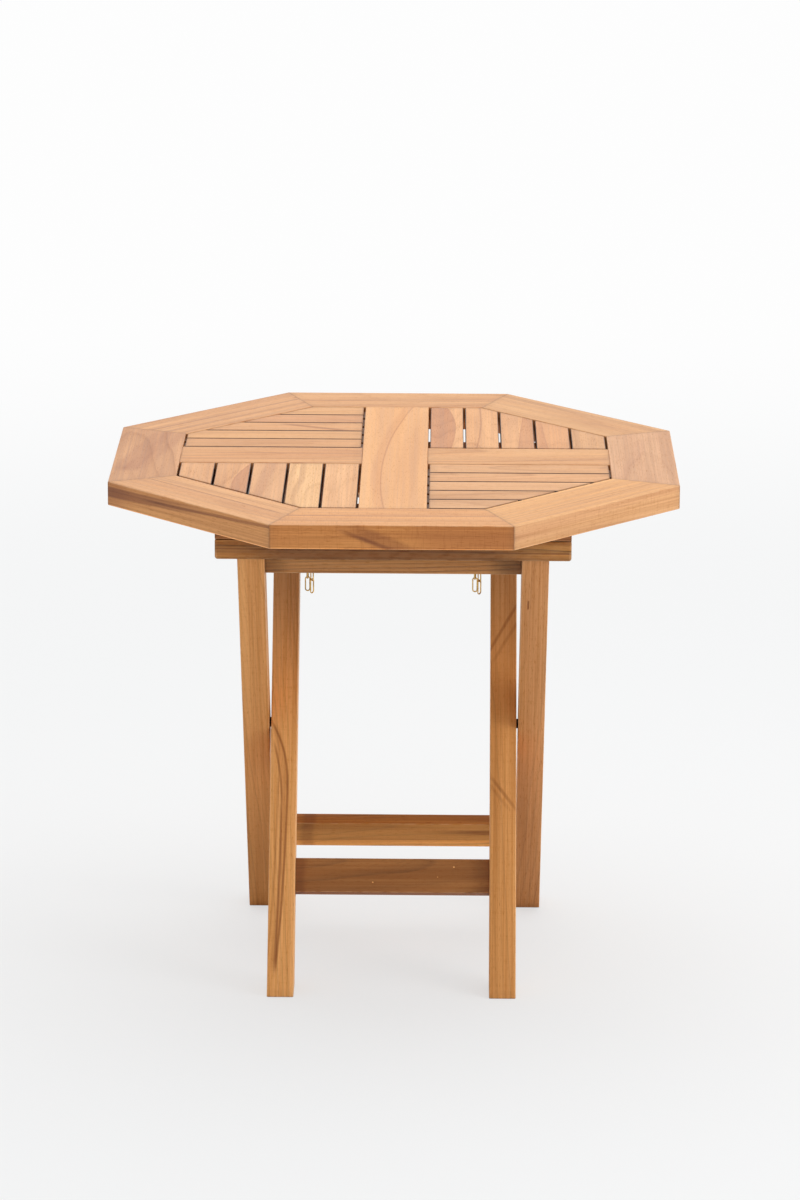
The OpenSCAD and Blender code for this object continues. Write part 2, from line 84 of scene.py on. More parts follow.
@dataclass(frozen=True)
class Sizes:
    """The table's own sizes, as the construction has them."""

    across: float = 0.800
    height: float = 0.740
    board_t: float = 0.034
    board_w: float = 0.094
    slat_gap: float = 0.003
    slat_t: float = 0.020
    slat_count: int = 5
    tongue_t: float = 0.008
    tongue_down: float = 0.014
    tongue_in: float = 0.008
    tongue_bite: float = 0.0005
    batten_h: float = 0.036
    cap_t: float = 0.028
    cap_w: float = 0.068
    cap_l: float = 0.497
    cap_lip: float = 0.0085
    joint_gap: float = 0.001
    rear_batten_t: float = 0.023
    runner_h: float = 0.024
    runner_w: float = 0.020
    runner_x: float = 0.105
    pivot_h: float = 0.341
    foot_spread: float = 0.400
    leg_w: float = 0.050
    leg_t: float = 0.038
    frame_w: float = 0.436
    leg_play: float = 0.0025
    outer_rail_h: float = 0.138
    inner_rail_h: float = 0.144
    rail_w: float = 0.050
    rail_t: float = 0.020
    top_rail_h: float = 0.031
    top_rail_set: float = 0.042
    bar_r: float = 0.012
    bar_h: float = 0.050
    stop_gap: float = 0.0003
    inner_top_drop: float = 0.006

    @property
    def half(self) -> float:
        """Half the distance across two flats."""
        return self.across / 2

    @property
    def inner_half(self) -> float:
        """Half the distance across the frame boards' inner edges."""
        return self.half - self.board_w

    @property
    def under_z(self) -> float:
        """Height of the underside of the frame boards."""
        return self.height - self.board_t

    @property
    def joint_z(self) -> float:
        """Height of the joint between front batten and cap rail."""
        return self.under_z - self.batten_h

    @property
    def cap_z(self) -> float:
        """Height of the cap rail's underside."""
        return self.joint_z - self.cap_t

    @property
    def lean(self) -> float:
        """Angle of each leg frame from the vertical, in radians."""
        return math.atan(self.foot_spread / 2 / self.pivot_h)

    @property
    def cap_front(self) -> float:
        """Y of the front face of cap rail and front batten."""
        slant = self.leg_w / 2 / math.cos(self.lean)
        return -((self.cap_z - self.pivot_h) * math.tan(self.lean) + slant + self.cap_lip)

    @property
    def outer_in(self) -> float:
        """X of the inner faces of the outer legs."""
        return self.frame_w / 2 - self.leg_t

    @property
    def inner_out(self) -> float:
        """X of the outer faces of the inner legs."""
        return self.outer_in - self.leg_play

    @property
    def inner_in(self) -> float:
        """X of the inner faces of the inner legs."""
        return self.inner_out - self.leg_t

    @property
    def bar_z(self) -> float:
        """Height of the centre of the inner top rail's round edge."""
        return self.under_z - self.runner_h - self.bar_r - self.stop_gap

    @property
    def bar_y(self) -> float:
        """Y of the centre of the inner top rail's round edge."""
        return (self.bar_z - self.pivot_h) * math.tan(self.lean)

    @property
    def rear_front(self) -> float:
        """Y of the front face of the rear batten."""
        return self.bar_y + self.bar_r + self.stop_gap


SIZES = Sizes()


# ------------------------------------------------------------- meshes


@dataclass
class Shape:
    """A closed surface as arrays: points, faces and values at each point."""

    points: Array
    faces: list[Array]
    values: dict[str, Array] = field(default_factory=dict)

    @staticmethod
    def merged(shapes: list["Shape"]) -> "Shape":
        """Puts shapes with the same named values side by side in one mesh."""
        shifts = np.cumsum([0] + [len(s.points) for s in shapes])
        return Shape(
            np.vstack([s.points for s in shapes]),
            [f + shift for s, shift in zip(shapes, shifts) for f in s.faces],
            {k: np.concatenate([s.values[k] for s in shapes]) for k in shapes[0].values},
        )


def spun(vector: Array, degrees: float) -> Array:
    """Turns a vector about the vertical: (x cos a - y sin a, x sin a + y cos a, z)."""
    c, s = math.cos(math.radians(degrees)), math.sin(math.radians(degrees))
    return np.array([c * vector[0] - s * vector[1], s * vector[0] + c * vector[1], vector[2]])


@dataclass(frozen=True)
class Placement:
    """Where a board lies: its middle, and its length, width and face directions."""

    origin: Array
    length: Array
    width: Array

    @property
    def axes(self) -> Array:
        """The length, width and face directions as rows; face = length cross width."""
        return np.stack([self.length, self.width, np.cross(self.length, self.width)])

    def world(self, local: Array) -> Array:
        """Turns (along, across, through) into origin + along L + across W + through F."""
        return self.origin + local @ self.axes

    def spun(self, degrees: float) -> "Placement":
        """The same place turned about the vertical, anticlockwise from above."""
        return Placement(*(spun(v, degrees) for v in (self.origin, self.length, self.width)))


@dataclass(frozen=True)
class Section:
    """Section of a board: a rectangle whose corners are rounded to soften the arrises.

    The side mask at a normal n is gain |n_x| - from, held between 0 and 1; it lays the painted
    shade of the side faces.
    """

    width: float
    thick: float
    round_up: float = 0.0016
    round_down: float = 0.0016
    spacing: float = 0.006
    arc_steps: int = 5
    side_gain: float = 1.6
    side_from: float = 0.3

    def half_outline(self, radius: float, sign: float) -> tuple[Array, Array]:
        """Upper or lower half of the outline, from the left edge to the right edge.

        A point is core + r * normal. The cores of a corner are its centre, and its
        normals turn by 90 degrees; along the face the cores run across and the
        normal stays (0, sign).

        Args:
            radius: the corners' radius.
            sign: 1 for the upper half, -1 for the lower half.

        Returns:
            The cores and the normals, two arrays of (n, 2).
        """
        core_x, core_y = self.width / 2 - radius, self.thick / 2 - radius
        turn = np.linspace(0, np.pi / 2, self.arc_steps)
        flat = np.linspace(-core_x, core_x, max(3, int(self.width / self.spacing)))[1:-1]
        ends = np.full(turn.size, core_x)
        cores_x = np.concatenate([-ends, flat, ends])
        cores = np.stack([cores_x, np.full(cores_x.size, sign * core_y)], axis=1)
        corner = np.stack([-np.cos(turn), sign * np.sin(turn)], axis=1)
        face = np.tile([0.0, sign], (flat.size, 1))
        return cores, np.concatenate([corner, face, corner[::-1] * [-1, 1]])

    def outline(self) -> tuple[Array, Array, Array, Array]:
        """Whole outline: the upper half left to right, then the lower half back.

        Returns:
            Cores, normals, radii and the arris mask sin(2 t), which is 1 in the middle
            of each corner's arc and 0 where the arc meets the faces.
        """
        up, up_n = self.half_outline(self.round_up, 1.0)
        down, down_n = self.half_outline(self.round_down, -1.0)
        radii = np.repeat([self.round_up, self.round_down], len(up))
        corner = np.zeros(len(up))
        corner[: self.arc_steps] = np.sin(np.linspace(0, np.pi, self.arc_steps))
        corner[-self.arc_steps :] = corner[: self.arc_steps]
        cores = np.concatenate([up, down[::-1]])
        normals = np.concatenate([up_n, down_n[::-1]])
        return cores, normals, radii, np.concatenate([corner, corner[::-1]])


def straight(at: float) -> EndCut:
    """An end sawn square at one place along the board."""
    return lambda a, b: np.full_like(a, at)


def mitre(at: float, slope: float) -> EndCut:
    """An end sawn at an angle: at + slope * across."""
    return lambda a, b: at + slope * a


@dataclass(frozen=True)
class Loft:
    """A section carried along a board between two end cuts, with softened ends."""

    section: Section
    start: EndCut
    stop: EndCut
    end_round: float = 0.0006
    uneven: float = 0.00004
    dusty: float = 1.0
    stations: int = 22
    seed: float = 0.0

    def build(self, place: Placement) -> Shape:
        """Works out the board's surface.

        For a section point with core c, normal n and radius r, the ring at inset d
        is c + (r - d) n. Near an end, d = e (1 - sin t) and the ring stands
        e (1 - cos t) inside the cut, for t from 0 to 90 degrees, so the end arris is
        a quarter round of radius e. Between the ends the rings run evenly, and the
        faces sink by u (1 - sin(2 pi x / 0.31) cos(2 pi y / 0.07)) / 2, as planed wood
        does.

        Args:
            place: where the board lies.

        Returns:
            The closed surface with its arris, end and side masks.
        """
        cores, normals, radii, corner = self.section.outline()
        turn = np.radians(END_TURNS)
        near = np.array(END_RINGS)
        edge = np.concatenate([self.end_round * (1 - np.cos(turn)), near])
        inset = np.concatenate([self.end_round * (1 - np.sin(turn)), np.zeros(near.size)])
        dirt = np.array([1.0] * (turn.size + 1) + [0.25, 0.0])
        soft = np.concatenate([np.sin(2 * turn), np.zeros(near.size)])
        middle = np.linspace(0, 1, self.stations + 2)[1:-1]

        flats = [cores + (radii - d)[:, None] * normals for d in inset]
        full = flats[-1]
        first = self.start(*full.T) + edge[-1]
        last = self.stop(*full.T) - edge[-1]
        along = [self.start(*flat.T) + e for flat, e in zip(flats, edge)]
        along += [first + (last - first) * t for t in middle]
        along += [self.stop(*flat.T) - e for flat, e in zip(flats[::-1], edge[::-1])]
        along = np.stack(along)
        flat = np.stack(flats + [full] * middle.size + flats[::-1])
        plain = np.zeros(middle.size)
        dirts = np.concatenate([dirt, plain, dirt[::-1]])[:, None]
        softs = np.concatenate([soft, plain, soft[::-1]])[:, None]

        swell = np.sin(2 * np.pi * (along / SWELL_LONG + self.seed))
        swell *= np.cos(2 * np.pi * (flat[..., 0] / SWELL_WIDE + 1.7 * self.seed))
        swell = self.uneven * (swell - 1) * (1 - np.maximum(dirts, corner))
        flat = flat + swell[..., None] * normals
        local = np.concatenate([along[..., None], flat], axis=-1).reshape(-1, 3)
        side = self.section.side_gain * np.abs(normals[:, 0]) - self.section.side_from
        masks = {
            "arris": np.maximum(softs, corner),
            "end": self.dusty * dirts,
            "flank": np.clip(side, 0.0, 1.0)[None],
        }
        return Shape(
            place.world(local), self.faces(*along.shape),
            {k: np.broadcast_to(v, along.shape).reshape(-1) for k, v in masks.items()},
        )

    @staticmethod
    def faces(rows: int, count: int) -> list[Array]:
        """Quads of the skin and of both ends, all turned outwards.

        Args:
            rows: how many rings there are.
            count: how many points each ring has.

        Returns:
            The faces as arrays of point numbers.
        """
        h = np.arange(count // 2 - 1)
        cap = np.stack([h, h + 1, count - 2 - h, count - 1 - h], axis=-1)
        far = cap[:, ::-1] + (rows - 1) * count
        return list(np.concatenate([grid_faces(rows, count), cap, far]))


def beam(section: Section, low: float, high: float, **more: float) -> Loft:
    """A board that is sawn square at both ends."""
    return Loft(section, straight(low), straight(high), **more)


def grid_faces(rows: int, count: int, path_closed: bool = False) -> Array:
    """Quads of a surface of closed rings.

    Args:
        rows: rings along the path.
        count: points round each ring.
        path_closed: whether the last ring joins the first.

    Returns:
        The quads as an array of point numbers.
    """
    steps = np.arange(rows if path_closed else rows - 1)
    k, j = np.meshgrid(steps, np.arange(count), indexing="ij")
    here, there = k * count, (k + 1) % rows * count
    nxt = (j + 1) % count
    return np.stack([here + j, there + j, there + nxt, here + nxt], axis=-1).reshape(-1, 4)


def tube(path: Array, plane: Array, radii: Array, closed: bool, sides: int = 14) -> Shape:
    """Round wire along a path that lies in one plane.

    A point is p + r (cos a * s + sin a * n), with n the plane's normal, t the path's
    direction and s = n cross t.

    Args:
        path: the centre line, (k, 3).
        plane: unit normal of the path's plane.
        radii: wire radius at each point of the path.
        closed: whether the path runs back to its start.
        sides: points round the wire.

    Returns:
        The wire's closed surface.
    """
    if closed:
        t = np.roll(path, -1, axis=0) - np.roll(path, 1, axis=0)
    else:
        t = np.gradient(path, axis=0)
    t /= np.linalg.norm(t, axis=1, keepdims=True)
    side = np.cross(plane, t)
    a = np.linspace(0, 2 * np.pi, sides, endpoint=False)
    ring = np.cos(a)[None, :, None] * side[:, None] + np.sin(a)[None, :, None] * plane
    points = (path[:, None] + radii[:, None, None] * ring).reshape(-1, 3)
    faces = [f[::-1] for f in grid_faces(len(path), sides, path_closed=closed)]
    if not closed:
        faces += [np.arange(sides), (np.arange(sides) + (len(path) - 1) * sides)[::-1]]
    return Shape(points, faces)


def turned(
    profile: list[tuple[float, float]], origin: Array, axis: Array, around: Array | None = None
) -> Shape:
    """Surface of revolution, or of a changing radius, about an axis.

    A point is o + h * axis + r * rho(a) (cos a * u + sin a * v).

    Args:
        profile: (radius, height) pairs of a closed loop, or of an open line whose two
            ends lie on the axis.
        origin: a point of the axis.
        axis: unit direction of the axis.
        around: factor of the radius at each angle, for a hexagon; all 1 if None.

    Returns:
        The closed surface.
    """
    u = np.cross(axis, Z if abs(axis[2]) < 0.9 else X)
    u /= np.linalg.norm(u)
    v = np.cross(axis, u)
    rho = np.ones(48) if around is None else around
    a = np.linspace(0, 2 * np.pi, rho.size, endpoint=False)
    r, h = np.array(profile).T
    ring = np.cos(a)[:, None] * u + np.sin(a)[:, None] * v
    points = origin + h[:, None, None] * axis + (r[:, None] * rho)[..., None] * ring
    closed = profile[0] == profile[-1]
    if closed:
        points = points[:-1]
    quads = grid_faces(len(points), rho.size, path_closed=closed)
    return Shape(points.reshape(-1, 3), [f[::-1] for f in quads])


def to_object(name: str, shape: Shape, smooth: float = 40.0) -> bpy.types.Object:
    """Makes a Blender object of a shape, at the origin and unturned.

    Args:
        name: the object's name.
        shape: its surface.
        smooth: edges that turn by less than this many degrees are shaded smooth.

    Returns:
        The new object.
    """
    mesh = bpy.data.meshes.new(name)
    mesh.from_pydata(shape.points.tolist(), [], [f.tolist() for f in shape.faces])
    for key, value in shape.values.items():
        layer = mesh.attributes.new(key, "FLOAT", "POINT")
        layer.data.foreach_set("value", value.astype(np.float32))
    mesh.validate(clean_customdata=False)
    mesh.update()
    mesh.shade_smooth()
    mesh.set_sharp_from_angle(angle=math.radians(smooth))
    thing = bpy.data.objects.new(name, mesh)
    bpy.context.scene.collection.objects.link(thing)
    return thing


def cleaned(thing: bpy.types.Object) -> None:
    """Merges doubled points of a closed mesh and turns its faces outwards."""
    work = bmesh.new()
    work.from_mesh(thing.data)
    bmesh.ops.remove_doubles(work, verts=work.verts, dist=1e-7)
    bmesh.ops.recalc_face_normals(work, faces=work.faces)
    work.to_mesh(thing.data)
    work.free()


def put_in_place(thing: bpy.types.Object, node: str, body: str) -> None:
    """Puts a finished piece on its body, in the place of its node."""
    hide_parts(node)
    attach(thing, body)
    LOG.info("%s: %d points", thing.name, len(thing.data.vertices))


def sunk(thing: bpy.types.Object, cutter: Shape) -> None:
    """Cuts a round sinking into an object and keeps the result as its mesh.

    Args:
        thing: the object to cut.
        cutter: the closed surface of what is taken out.
    """
    tool = to_object(thing.name + "_cutter", cutter)
    cleaned(tool)
    cut = thing.modifiers.new("sinking", "BOOLEAN")
    cut.operation, cut.object, cut.solver = "DIFFERENCE", tool, "EXACT"
    graph = bpy.context.evaluated_depsgraph_get()
    result = bpy.data.meshes.new_from_object(thing.evaluated_get(graph))
    thing.modifiers.clear()
    thing.data = result
    result.name = thing.name
    bpy.data.objects.remove(tool)


# ------------------------------------------------------------ shaders

# where a grain's light drops by d, red, green and blue drop by these shares of d
GRAIN_SHARES = (0.70, 1.05, 1.70)
SHADED_SIDE: RGB = (0.08, 0.042, 0.022)  # side faces of slats, deep in the narrow gaps
RUBBED_TEAK: RGB = (0.78, 0.50, 0.27)
# dust on board ends, and the painted shade on the slats' tongues deep in the gaps
DUST_AND_SHADE: RGB = (0.16, 0.075, 0.035)
WHITE: RGB = (1.0, 1.0, 1.0)


@dataclass(frozen=True)
class Wire:
    """An output socket, with sums and products that each add one Math node."""

    graph: "Graph"
    socket: bpy.types.NodeSocket

    def __add__(self, other: "Feed") -> "Wire":
        """This plus the other."""
        return self.graph.math("ADD", self, other)

    def __sub__(self, other: "Feed") -> "Wire":
        """This less the other."""
        return self.graph.math("SUBTRACT", self, other)

    def __rsub__(self, other: float) -> "Wire":
        """The other less this."""
        return self.graph.math("SUBTRACT", other, self)

    def __mul__(self, other: "Feed") -> "Wire":
        """This times the other."""
        return self.graph.math("MULTIPLY", self, other)


Feed = Wire | float | tuple[float, ...]
Feeds = dict[str | int, Feed]


class Graph:
    """Adds nodes to one node tree and feeds them by value or by wire."""

    def __init__(self, tree: bpy.types.NodeTree) -> None:
        """Keeps the tree that the nodes go into."""
        self.tree = tree

    @classmethod
    def material(cls, name: str) -> tuple[bpy.types.Material, "Graph", bpy.types.Node]:
        """A new material, its graph and its Principled shader."""
        made = bpy.data.materials.new(name)
        made.use_nodes = True
        return made, cls(made.node_tree), made.node_tree.nodes["Principled BSDF"]

    def node(self, kind: str, **settings: object) -> bpy.types.Node:
        """Adds one node and sets its properties."""
        made = self.tree.nodes.new(kind)
        for key, value in settings.items():
            setattr(made, key, value)
        return made

    def feed(self, node: bpy.types.Node, values: Feeds) -> bpy.types.Node:
        """Feeds a node's inputs from wires, or sets their own values."""
        for key, value in values.items():
            socket = node.inputs[key]
            if isinstance(value, Wire):
                self.tree.links.new(value.socket, socket)
            else:
                socket.default_value = (*value, 1.0) if socket.type == "RGBA" else value
        return node

    def made(self, kind: str, values: Feeds, out: str | int = 0, **settings: object) -> Wire:
        """Adds one node, feeds it and gives one of its outputs."""
        return Wire(self, self.feed(self.node(kind, **settings), values).outputs[out])

    def math(self, op: str, a: Feed, b: Feed = 0.0, clamp: bool = False) -> Wire:
        """One Math node; gives its result."""
        return self.made("ShaderNodeMath", {0: a, 1: b}, operation=op, use_clamp=clamp)

    def vector(self, op: str, a: Feed, b: Feed = (0.0, 0.0, 0.0)) -> Wire:
        """One Vector Math node; gives its vector, or its value for a dot product or length."""
        out = "Value" if op in ("DOT_PRODUCT", "LENGTH") else "Vector"
        return self.made("ShaderNodeVectorMath", {0: a, 1: b}, out, operation=op)

    def spot(self, kind: str = "Object") -> Wire:
        """The shaded point's own coordinates."""
        return self.made("ShaderNodeTexCoord", {}, kind)

    def along(self, place: Wire) -> Wire:
        """The x of a place, which runs along the board."""
        return self.made("ShaderNodeSeparateXYZ", {0: place})

    def noise(self, place: Feed, stretch: RGB, detail: float = 2.0, out: int = 0) -> Wire:
        """Noise on a place that is stretched by so many cells per metre; gives 0 to 1."""
        values = {"Vector": self.vector("MULTIPLY", place, stretch), "Scale": 1.0, "Detail": detail}
        return self.made("ShaderNodeTexNoise", values, out)

    def smooth(self, value: Feed, low: Feed, high: Feed) -> Wire:
        """Smooth step from 0 at low to 1 at high."""
        values = {"Value": value, "From Min": low, "From Max": high}
        return self.made("ShaderNodeMapRange", values, interpolation_type="SMOOTHSTEP")

    def mix(self, part: Feed, a: Feed, b: Feed, way: str = "MIX") -> Wire:
        """Mixes two colours; gives a where part is 0 and b where it is 1."""
        values = {0: part, 6: a, 7: b}
        return self.made("ShaderNodeMix", values, 2, data_type="RGBA", blend_type=way)

    def ramp(self, value: Feed, stops: tuple[tuple[float, float], ...]) -> Wire:
        """Grey ramp through (place, level) stops."""
        made = self.feed(self.node("ShaderNodeValToRGB"), {0: value})
        points = made.color_ramp.elements
        while len(points) < len(stops):
            points.new(0.5)
        for point, (at, level) in zip(points, stops, strict=True):
            point.position = at
            point.color = (level, level, level, 1.0)
        return Wire(self, made.outputs[0])

    def bump(self, height: Wire, strength: float, distance: float) -> Wire:
        """Normals that follow a height."""
        values = {"Strength": strength, "Distance": distance, "Height": height}
        return self.made("ShaderNodeBump", values)

    def surface(self, part: Wire, a: bpy.types.Node, b: bpy.types.Node, end: str) -> None:
        """Shows shader a where part is 0 and b where it is 1, at the output node end."""
        values = {0: part, 1: Wire(self, a.outputs[0]), 2: Wire(self, b.outputs[0])}
        self.feed(self.tree.nodes[end], {"Surface": self.made("ShaderNodeMixShader", values)})


class Effects:
    """The node groups that several materials share, each built once."""

    def __init__(self) -> None:
        """Starts with no group built."""
        self.built: dict[str, bpy.types.NodeTree] = {}

    def start(self, name: str, **kinds: str) -> tuple[Graph, SimpleNamespace]:
        """Opens a new group.

        Args:
            name: the group's name.
            kinds: for each kind of socket, the inputs' names with spaces between them.

        Returns:
            The group's graph and its inputs by name.
        """
        tree = self.built[name] = bpy.data.node_groups.new(name, "ShaderNodeTree")
        for kind, names in kinds.items():
            for key in names.split():
                tree.interface.new_socket(key, in_out="INPUT", socket_type="NodeSocket" + kind)
        g = Graph(tree)
        given = g.node("NodeGroupInput").outputs
        return g, SimpleNamespace(**{s.name: Wire(g, s) for s in given if s.name})

    @staticmethod
    def close(g: Graph, **results: Wire) -> None:
        """Gives a group one output for each result."""
        for key, wire in results.items():
            kind = "NodeSocketColor" if wire.socket.type == "RGBA" else "NodeSocketFloat"
            g.tree.interface.new_socket(key, in_out="OUTPUT", socket_type=kind)
        g.feed(g.node("NodeGroupOutput"), results)

    def use(self, graph: Graph, name: str, **values: Feed) -> dict[str, Wire]:
        """Places a group in a material and feeds its inputs.

        Args:
            graph: the material's graph.
            name: the group, built on first use.
            values: input values by name.

        Returns:
            The group's outputs by name.
        """
        if name not in self.built:
            getattr(self, name)()
        made = graph.feed(graph.node("ShaderNodeGroup", node_tree=self.built[name]), values)
        return {socket.name: Wire(graph, socket) for socket in made.outputs}

    def teak_figure(self) -> None:
        """Solid teak: growth rings about a leaning pith, fibre, bands, pores and saw marks.

        With the board's place (x, y, z), warped by slow noise, the ring number is
        |(y, z) - pith - lean x| / ring width. The ring's fraction darkens slowly and
        ends sharply, and each whole number has its own strength.
        """
        g, given = self.start(
            "teak_figure", Vector="place pith lean", Float="seed ring_width wander"
        )
        own = g.vector("ADD", given.place, g.vector("MULTIPLY", (7.3, 3.1, 1.9), given.seed))
        slow = g.noise(own, (3.2, 11.0, 11.0), 2.5, out=1)
        push = g.vector("MULTIPLY", g.vector("SUBTRACT", slow, (0.5, 0.5, 0.5)), given.wander)
        drift = g.vector("MULTIPLY", given.lean, g.along(given.place))
        warped = g.vector("ADD", given.place, push)
        spoke = g.vector("SUBTRACT", warped, g.vector("ADD", given.pith, drift))
        radius = g.vector("LENGTH", g.vector("MULTIPLY", spoke, (0.0, 1.0, 1.0)))
        number = g.math("DIVIDE", radius, given.ring_width) + g.noise(own, (2.2, 60.0, 60.0)) * 0.45
        stops = ((0.0, 0.22), (0.35, 0.0), (0.78, 0.42), (0.93, 1.0), (1.0, 0.22))
        whole = {"W": g.math("FLOOR", number) + given.seed}
        each = g.made("ShaderNodeTexWhiteNoise", whole, "Value", noise_dimensions="1D")
        ring = g.ramp(g.math("FRACT", number), stops) * (each * 0.85 + 0.15)
        fibre = g.noise(own, (5.0, 520.0, 520.0)) + g.noise(own, (1.8, 150.0, 150.0))
        fibre = g.smooth(fibre, 0.70, 1.30)
        pores = g.smooth(g.noise(own, (85.0, 1300.0, 1300.0), 1.0), 0.60, 0.72)
        self.close(
            g, ring=ring, fibre=fibre, pores=pores,
            band=g.smooth(g.noise(own, (1.7, 26.0, 26.0)), 0.32, 0.70),
            marks=g.smooth(g.noise(own, (760.0, 60.0, 60.0)), 0.52, 0.72),
            height=fibre * 0.5 + ring * 0.25 - pores * 0.45,
        )

    def teak_colour(self) -> None:
        """Lays the figure's masks over each other as oiled teak shows them.

        Dark grain is warm: it takes most from the blue and least from the red. The side faces take
        the painted side shade.
        """
        g, given = self.start(
            "teak_colour", Color="pale deep line tone edge_tone",
            Float="flank ring fibre band pores marks contrast banding sawn fine",
        )
        body = g.mix(given.band * given.banding, given.pale, given.deep)
        body = g.mix(given.ring * given.contrast, body, given.line)
        body = g.mix(1.0, body, given.tone, "MULTIPLY")
        body = g.mix(given.flank, body, g.mix(1.0, body, given.edge_tone, "MULTIPLY"))
        light = given.fibre * given.fine + 1.0 - given.fine * 0.5
        shade = light * (1.0 - given.pores * 0.30) * (1.0 - given.marks * given.sawn)
        shares = [shade * share + (1.0 - share) for share in GRAIN_SHARES]
        warm = g.made("ShaderNodeCombineColor", dict(enumerate(shares)))
        self.close(
            g, color=g.mix(1.0, body, warm, "MULTIPLY"),
            roughness=given.fibre * 0.16 + given.pores * 0.12 + 0.40,
        )

    def heart_streak(self) -> None:
        """A band on the board, in a window of x that fades out at both ends; bands in the wood's
        colour, painted shade and painted highlights all use it.

        It lies where |steer . place + bow (x - bend)^2 + waver - offset| is small.
        """
        g, given = self.start(
            "heart_streak", Vector="place steer",
            Float="offset reach softness waver start stop fade bow bend flank only seed",
        )
        own = g.vector("ADD", given.place, g.vector("MULTIPLY", (2.7, 5.3, 1.1), given.seed))
        sway = g.noise(own, (5.0, 20.0, 20.0)) - 0.5
        x = g.along(given.place)
        arm = x - given.bend
        level = g.vector("DOT_PRODUCT", given.place, given.steer) + sway * given.waver
        off = g.math("ABSOLUTE", level + arm * arm * given.bow - given.offset)
        inside = 1.0 - g.smooth(off, given.reach, given.reach + given.softness)
        x = x + sway * given.fade
        window = g.smooth(x, given.start, given.start + given.fade)
        window = window * (1.0 - g.smooth(x, given.stop - given.fade, given.stop))
        window = window * (given.only * (given.flank - 1.0) + 1.0)
        rim = 1.0 - g.smooth(g.math("ABSOLUTE", off - given.reach), 0.0003, 0.0018)
        self.close(g, mask=inside * window, edge=rim * window)

    def handled_edges(self) -> None:
        """Arrises rubbed pale and ends that hold a little dust, broken up by noise; the same dark
        colour paints the shade on the slats' tongues.
        """
        g, given = self.start(
            "handled_edges", Color="color", Vector="place", Float="arris end rubbed dusty"
        )
        broken = g.smooth(g.noise(given.place, (60.0, 200.0, 200.0)), 0.30, 0.62)
        worn = g.mix(0.55, given.color, RUBBED_TEAK)
        shade = g.mix(given.arris * broken * given.rubbed, given.color, worn)
        self.close(g, color=g.mix(given.end * (broken + 0.5) * given.dusty, shade, DUST_AND_SHADE))

    def metal_wear(self) -> None:
        """Fine scratches and dull patches on plated metal."""
        g, given = self.start("metal_wear", Vector="place", Float="grain")
        fine = g.vector("MULTIPLY", given.place, given.grain)
        patches = g.noise(fine, (0.12, 0.12, 0.12), 3.0)
        self.close(g, dull=g.smooth(patches, 0.35, 0.70), scratch=g.noise(fine, (0.3, 2.6, 2.6)))


EFFECTS = Effects()


@dataclass(frozen=True)
class Streak:
    """One band through a board, in the board's own place. Some bands are the wood's colour, and
    some are painted shade or painted highlights.

    With only at 1 the band shows on the board's side faces alone.
    """

    steer: RGB
    offset: float
    reach: float
    softness: float = 0.004
    waver: float = 0.01
    start: float = -1.0
    stop: float = 1.0
    fade: float = 0.03
    bow: float = 0.0
    bend: float = 0.0
    only: float = 0.0
    depth: float = 0.6
    edge: float = 0.0
    stain: RGB = (0.55, 0.42, 0.36)

    @property
    def band(self) -> dict[str, Feed]:
        """The values that say where the band lies, and not how it looks."""
        return {k: v for k, v in vars(self).items() if k not in ("depth", "edge", "stain")}


@dataclass(frozen=True)
class Cut:
    """How one board was cut from the log, and what it shows, with the painted shade of its side
    faces.
    """

    seed: float
    tone: RGB
    pith: tuple[float, float]
    lean: tuple[float, float]
    ring: float
    contrast: float
    banding: float
    wander: float
    fine: float
    # painted shade: the side faces' tone, darker and redder than the faces on top
    flank: RGB = (0.90, 0.78, 0.62)
    sawn: float = 0.06
    streaks: tuple[Streak, ...] = ()


@dataclass(frozen=True)
class TeakFinish:
    """Colours of oiled teak for one kind of board, and the record's slot for it."""

    slot: str
    pale: RGB = (0.640, 0.330, 0.135)
    deep: RGB = (0.500, 0.215, 0.075)
    line: RGB = (0.320, 0.105, 0.012)
    sheen: float = 0.5
    rubbed: float = 0.65
    dusty: float = 0.35
    bump: float = 0.22
    bump_depth: float = 0.0005

    def dress(self, thing: bpy.types.Object, place: Placement, cut: Cut) -> None:
        """Gives a board its own teak material.

        Args:
            thing: the board.
            place: directions of its grain, width and face.
            cut: what the board shows.
        """
        material, g, shader = Graph.material("teak_" + thing.name)
        turn = Matrix(place.axes.T.tolist()).to_euler()
        own = {"Vector": g.spot(), "Location": place.origin.tolist(), "Rotation": turn}
        spot = g.made("ShaderNodeMapping", own, vector_type="TEXTURE")
        flank, arris, end = (
            g.made("ShaderNodeAttribute", {}, "Fac", attribute_name=key)
            for key in ("flank", "arris", "end")
        )
        figure = EFFECTS.use(
            g, "teak_figure", place=spot, seed=cut.seed, pith=(0.0, *cut.pith),
            lean=(0.0, *cut.lean), ring_width=cut.ring, wander=cut.wander,
        )
        bump = g.bump(figure.pop("height"), self.bump, self.bump_depth)
        coloured = EFFECTS.use(
            g, "teak_colour", pale=self.pale, deep=self.deep, line=self.line, tone=cut.tone,
            edge_tone=cut.flank, flank=flank, contrast=cut.contrast, banding=cut.banding,
            sawn=cut.sawn, fine=cut.fine, **figure,
        )
        shade = coloured["color"]
        for number, streak in enumerate(cut.streaks):
            found = EFFECTS.use(
                g, "heart_streak", place=spot, flank=flank, seed=cut.seed + number, **streak.band
            )
            stained = g.mix(1.0, shade, streak.stain, "MULTIPLY")
            shade = g.mix(found["mask"] * streak.depth, shade, stained)
            shade = g.mix(found["edge"] * streak.edge, shade, stained)
        worn = EFFECTS.use(
            g, "handled_edges", color=shade, place=spot, arris=arris, end=end,
            rubbed=self.rubbed, dusty=self.dusty,
        )
        g.feed(shader, {
            "Base Color": worn["color"], "Roughness": coloured["roughness"], "Normal": bump,
            "Specular IOR Level": self.sheen,
        })
        thing.data.materials.clear()
        thing.data.materials.append(material)


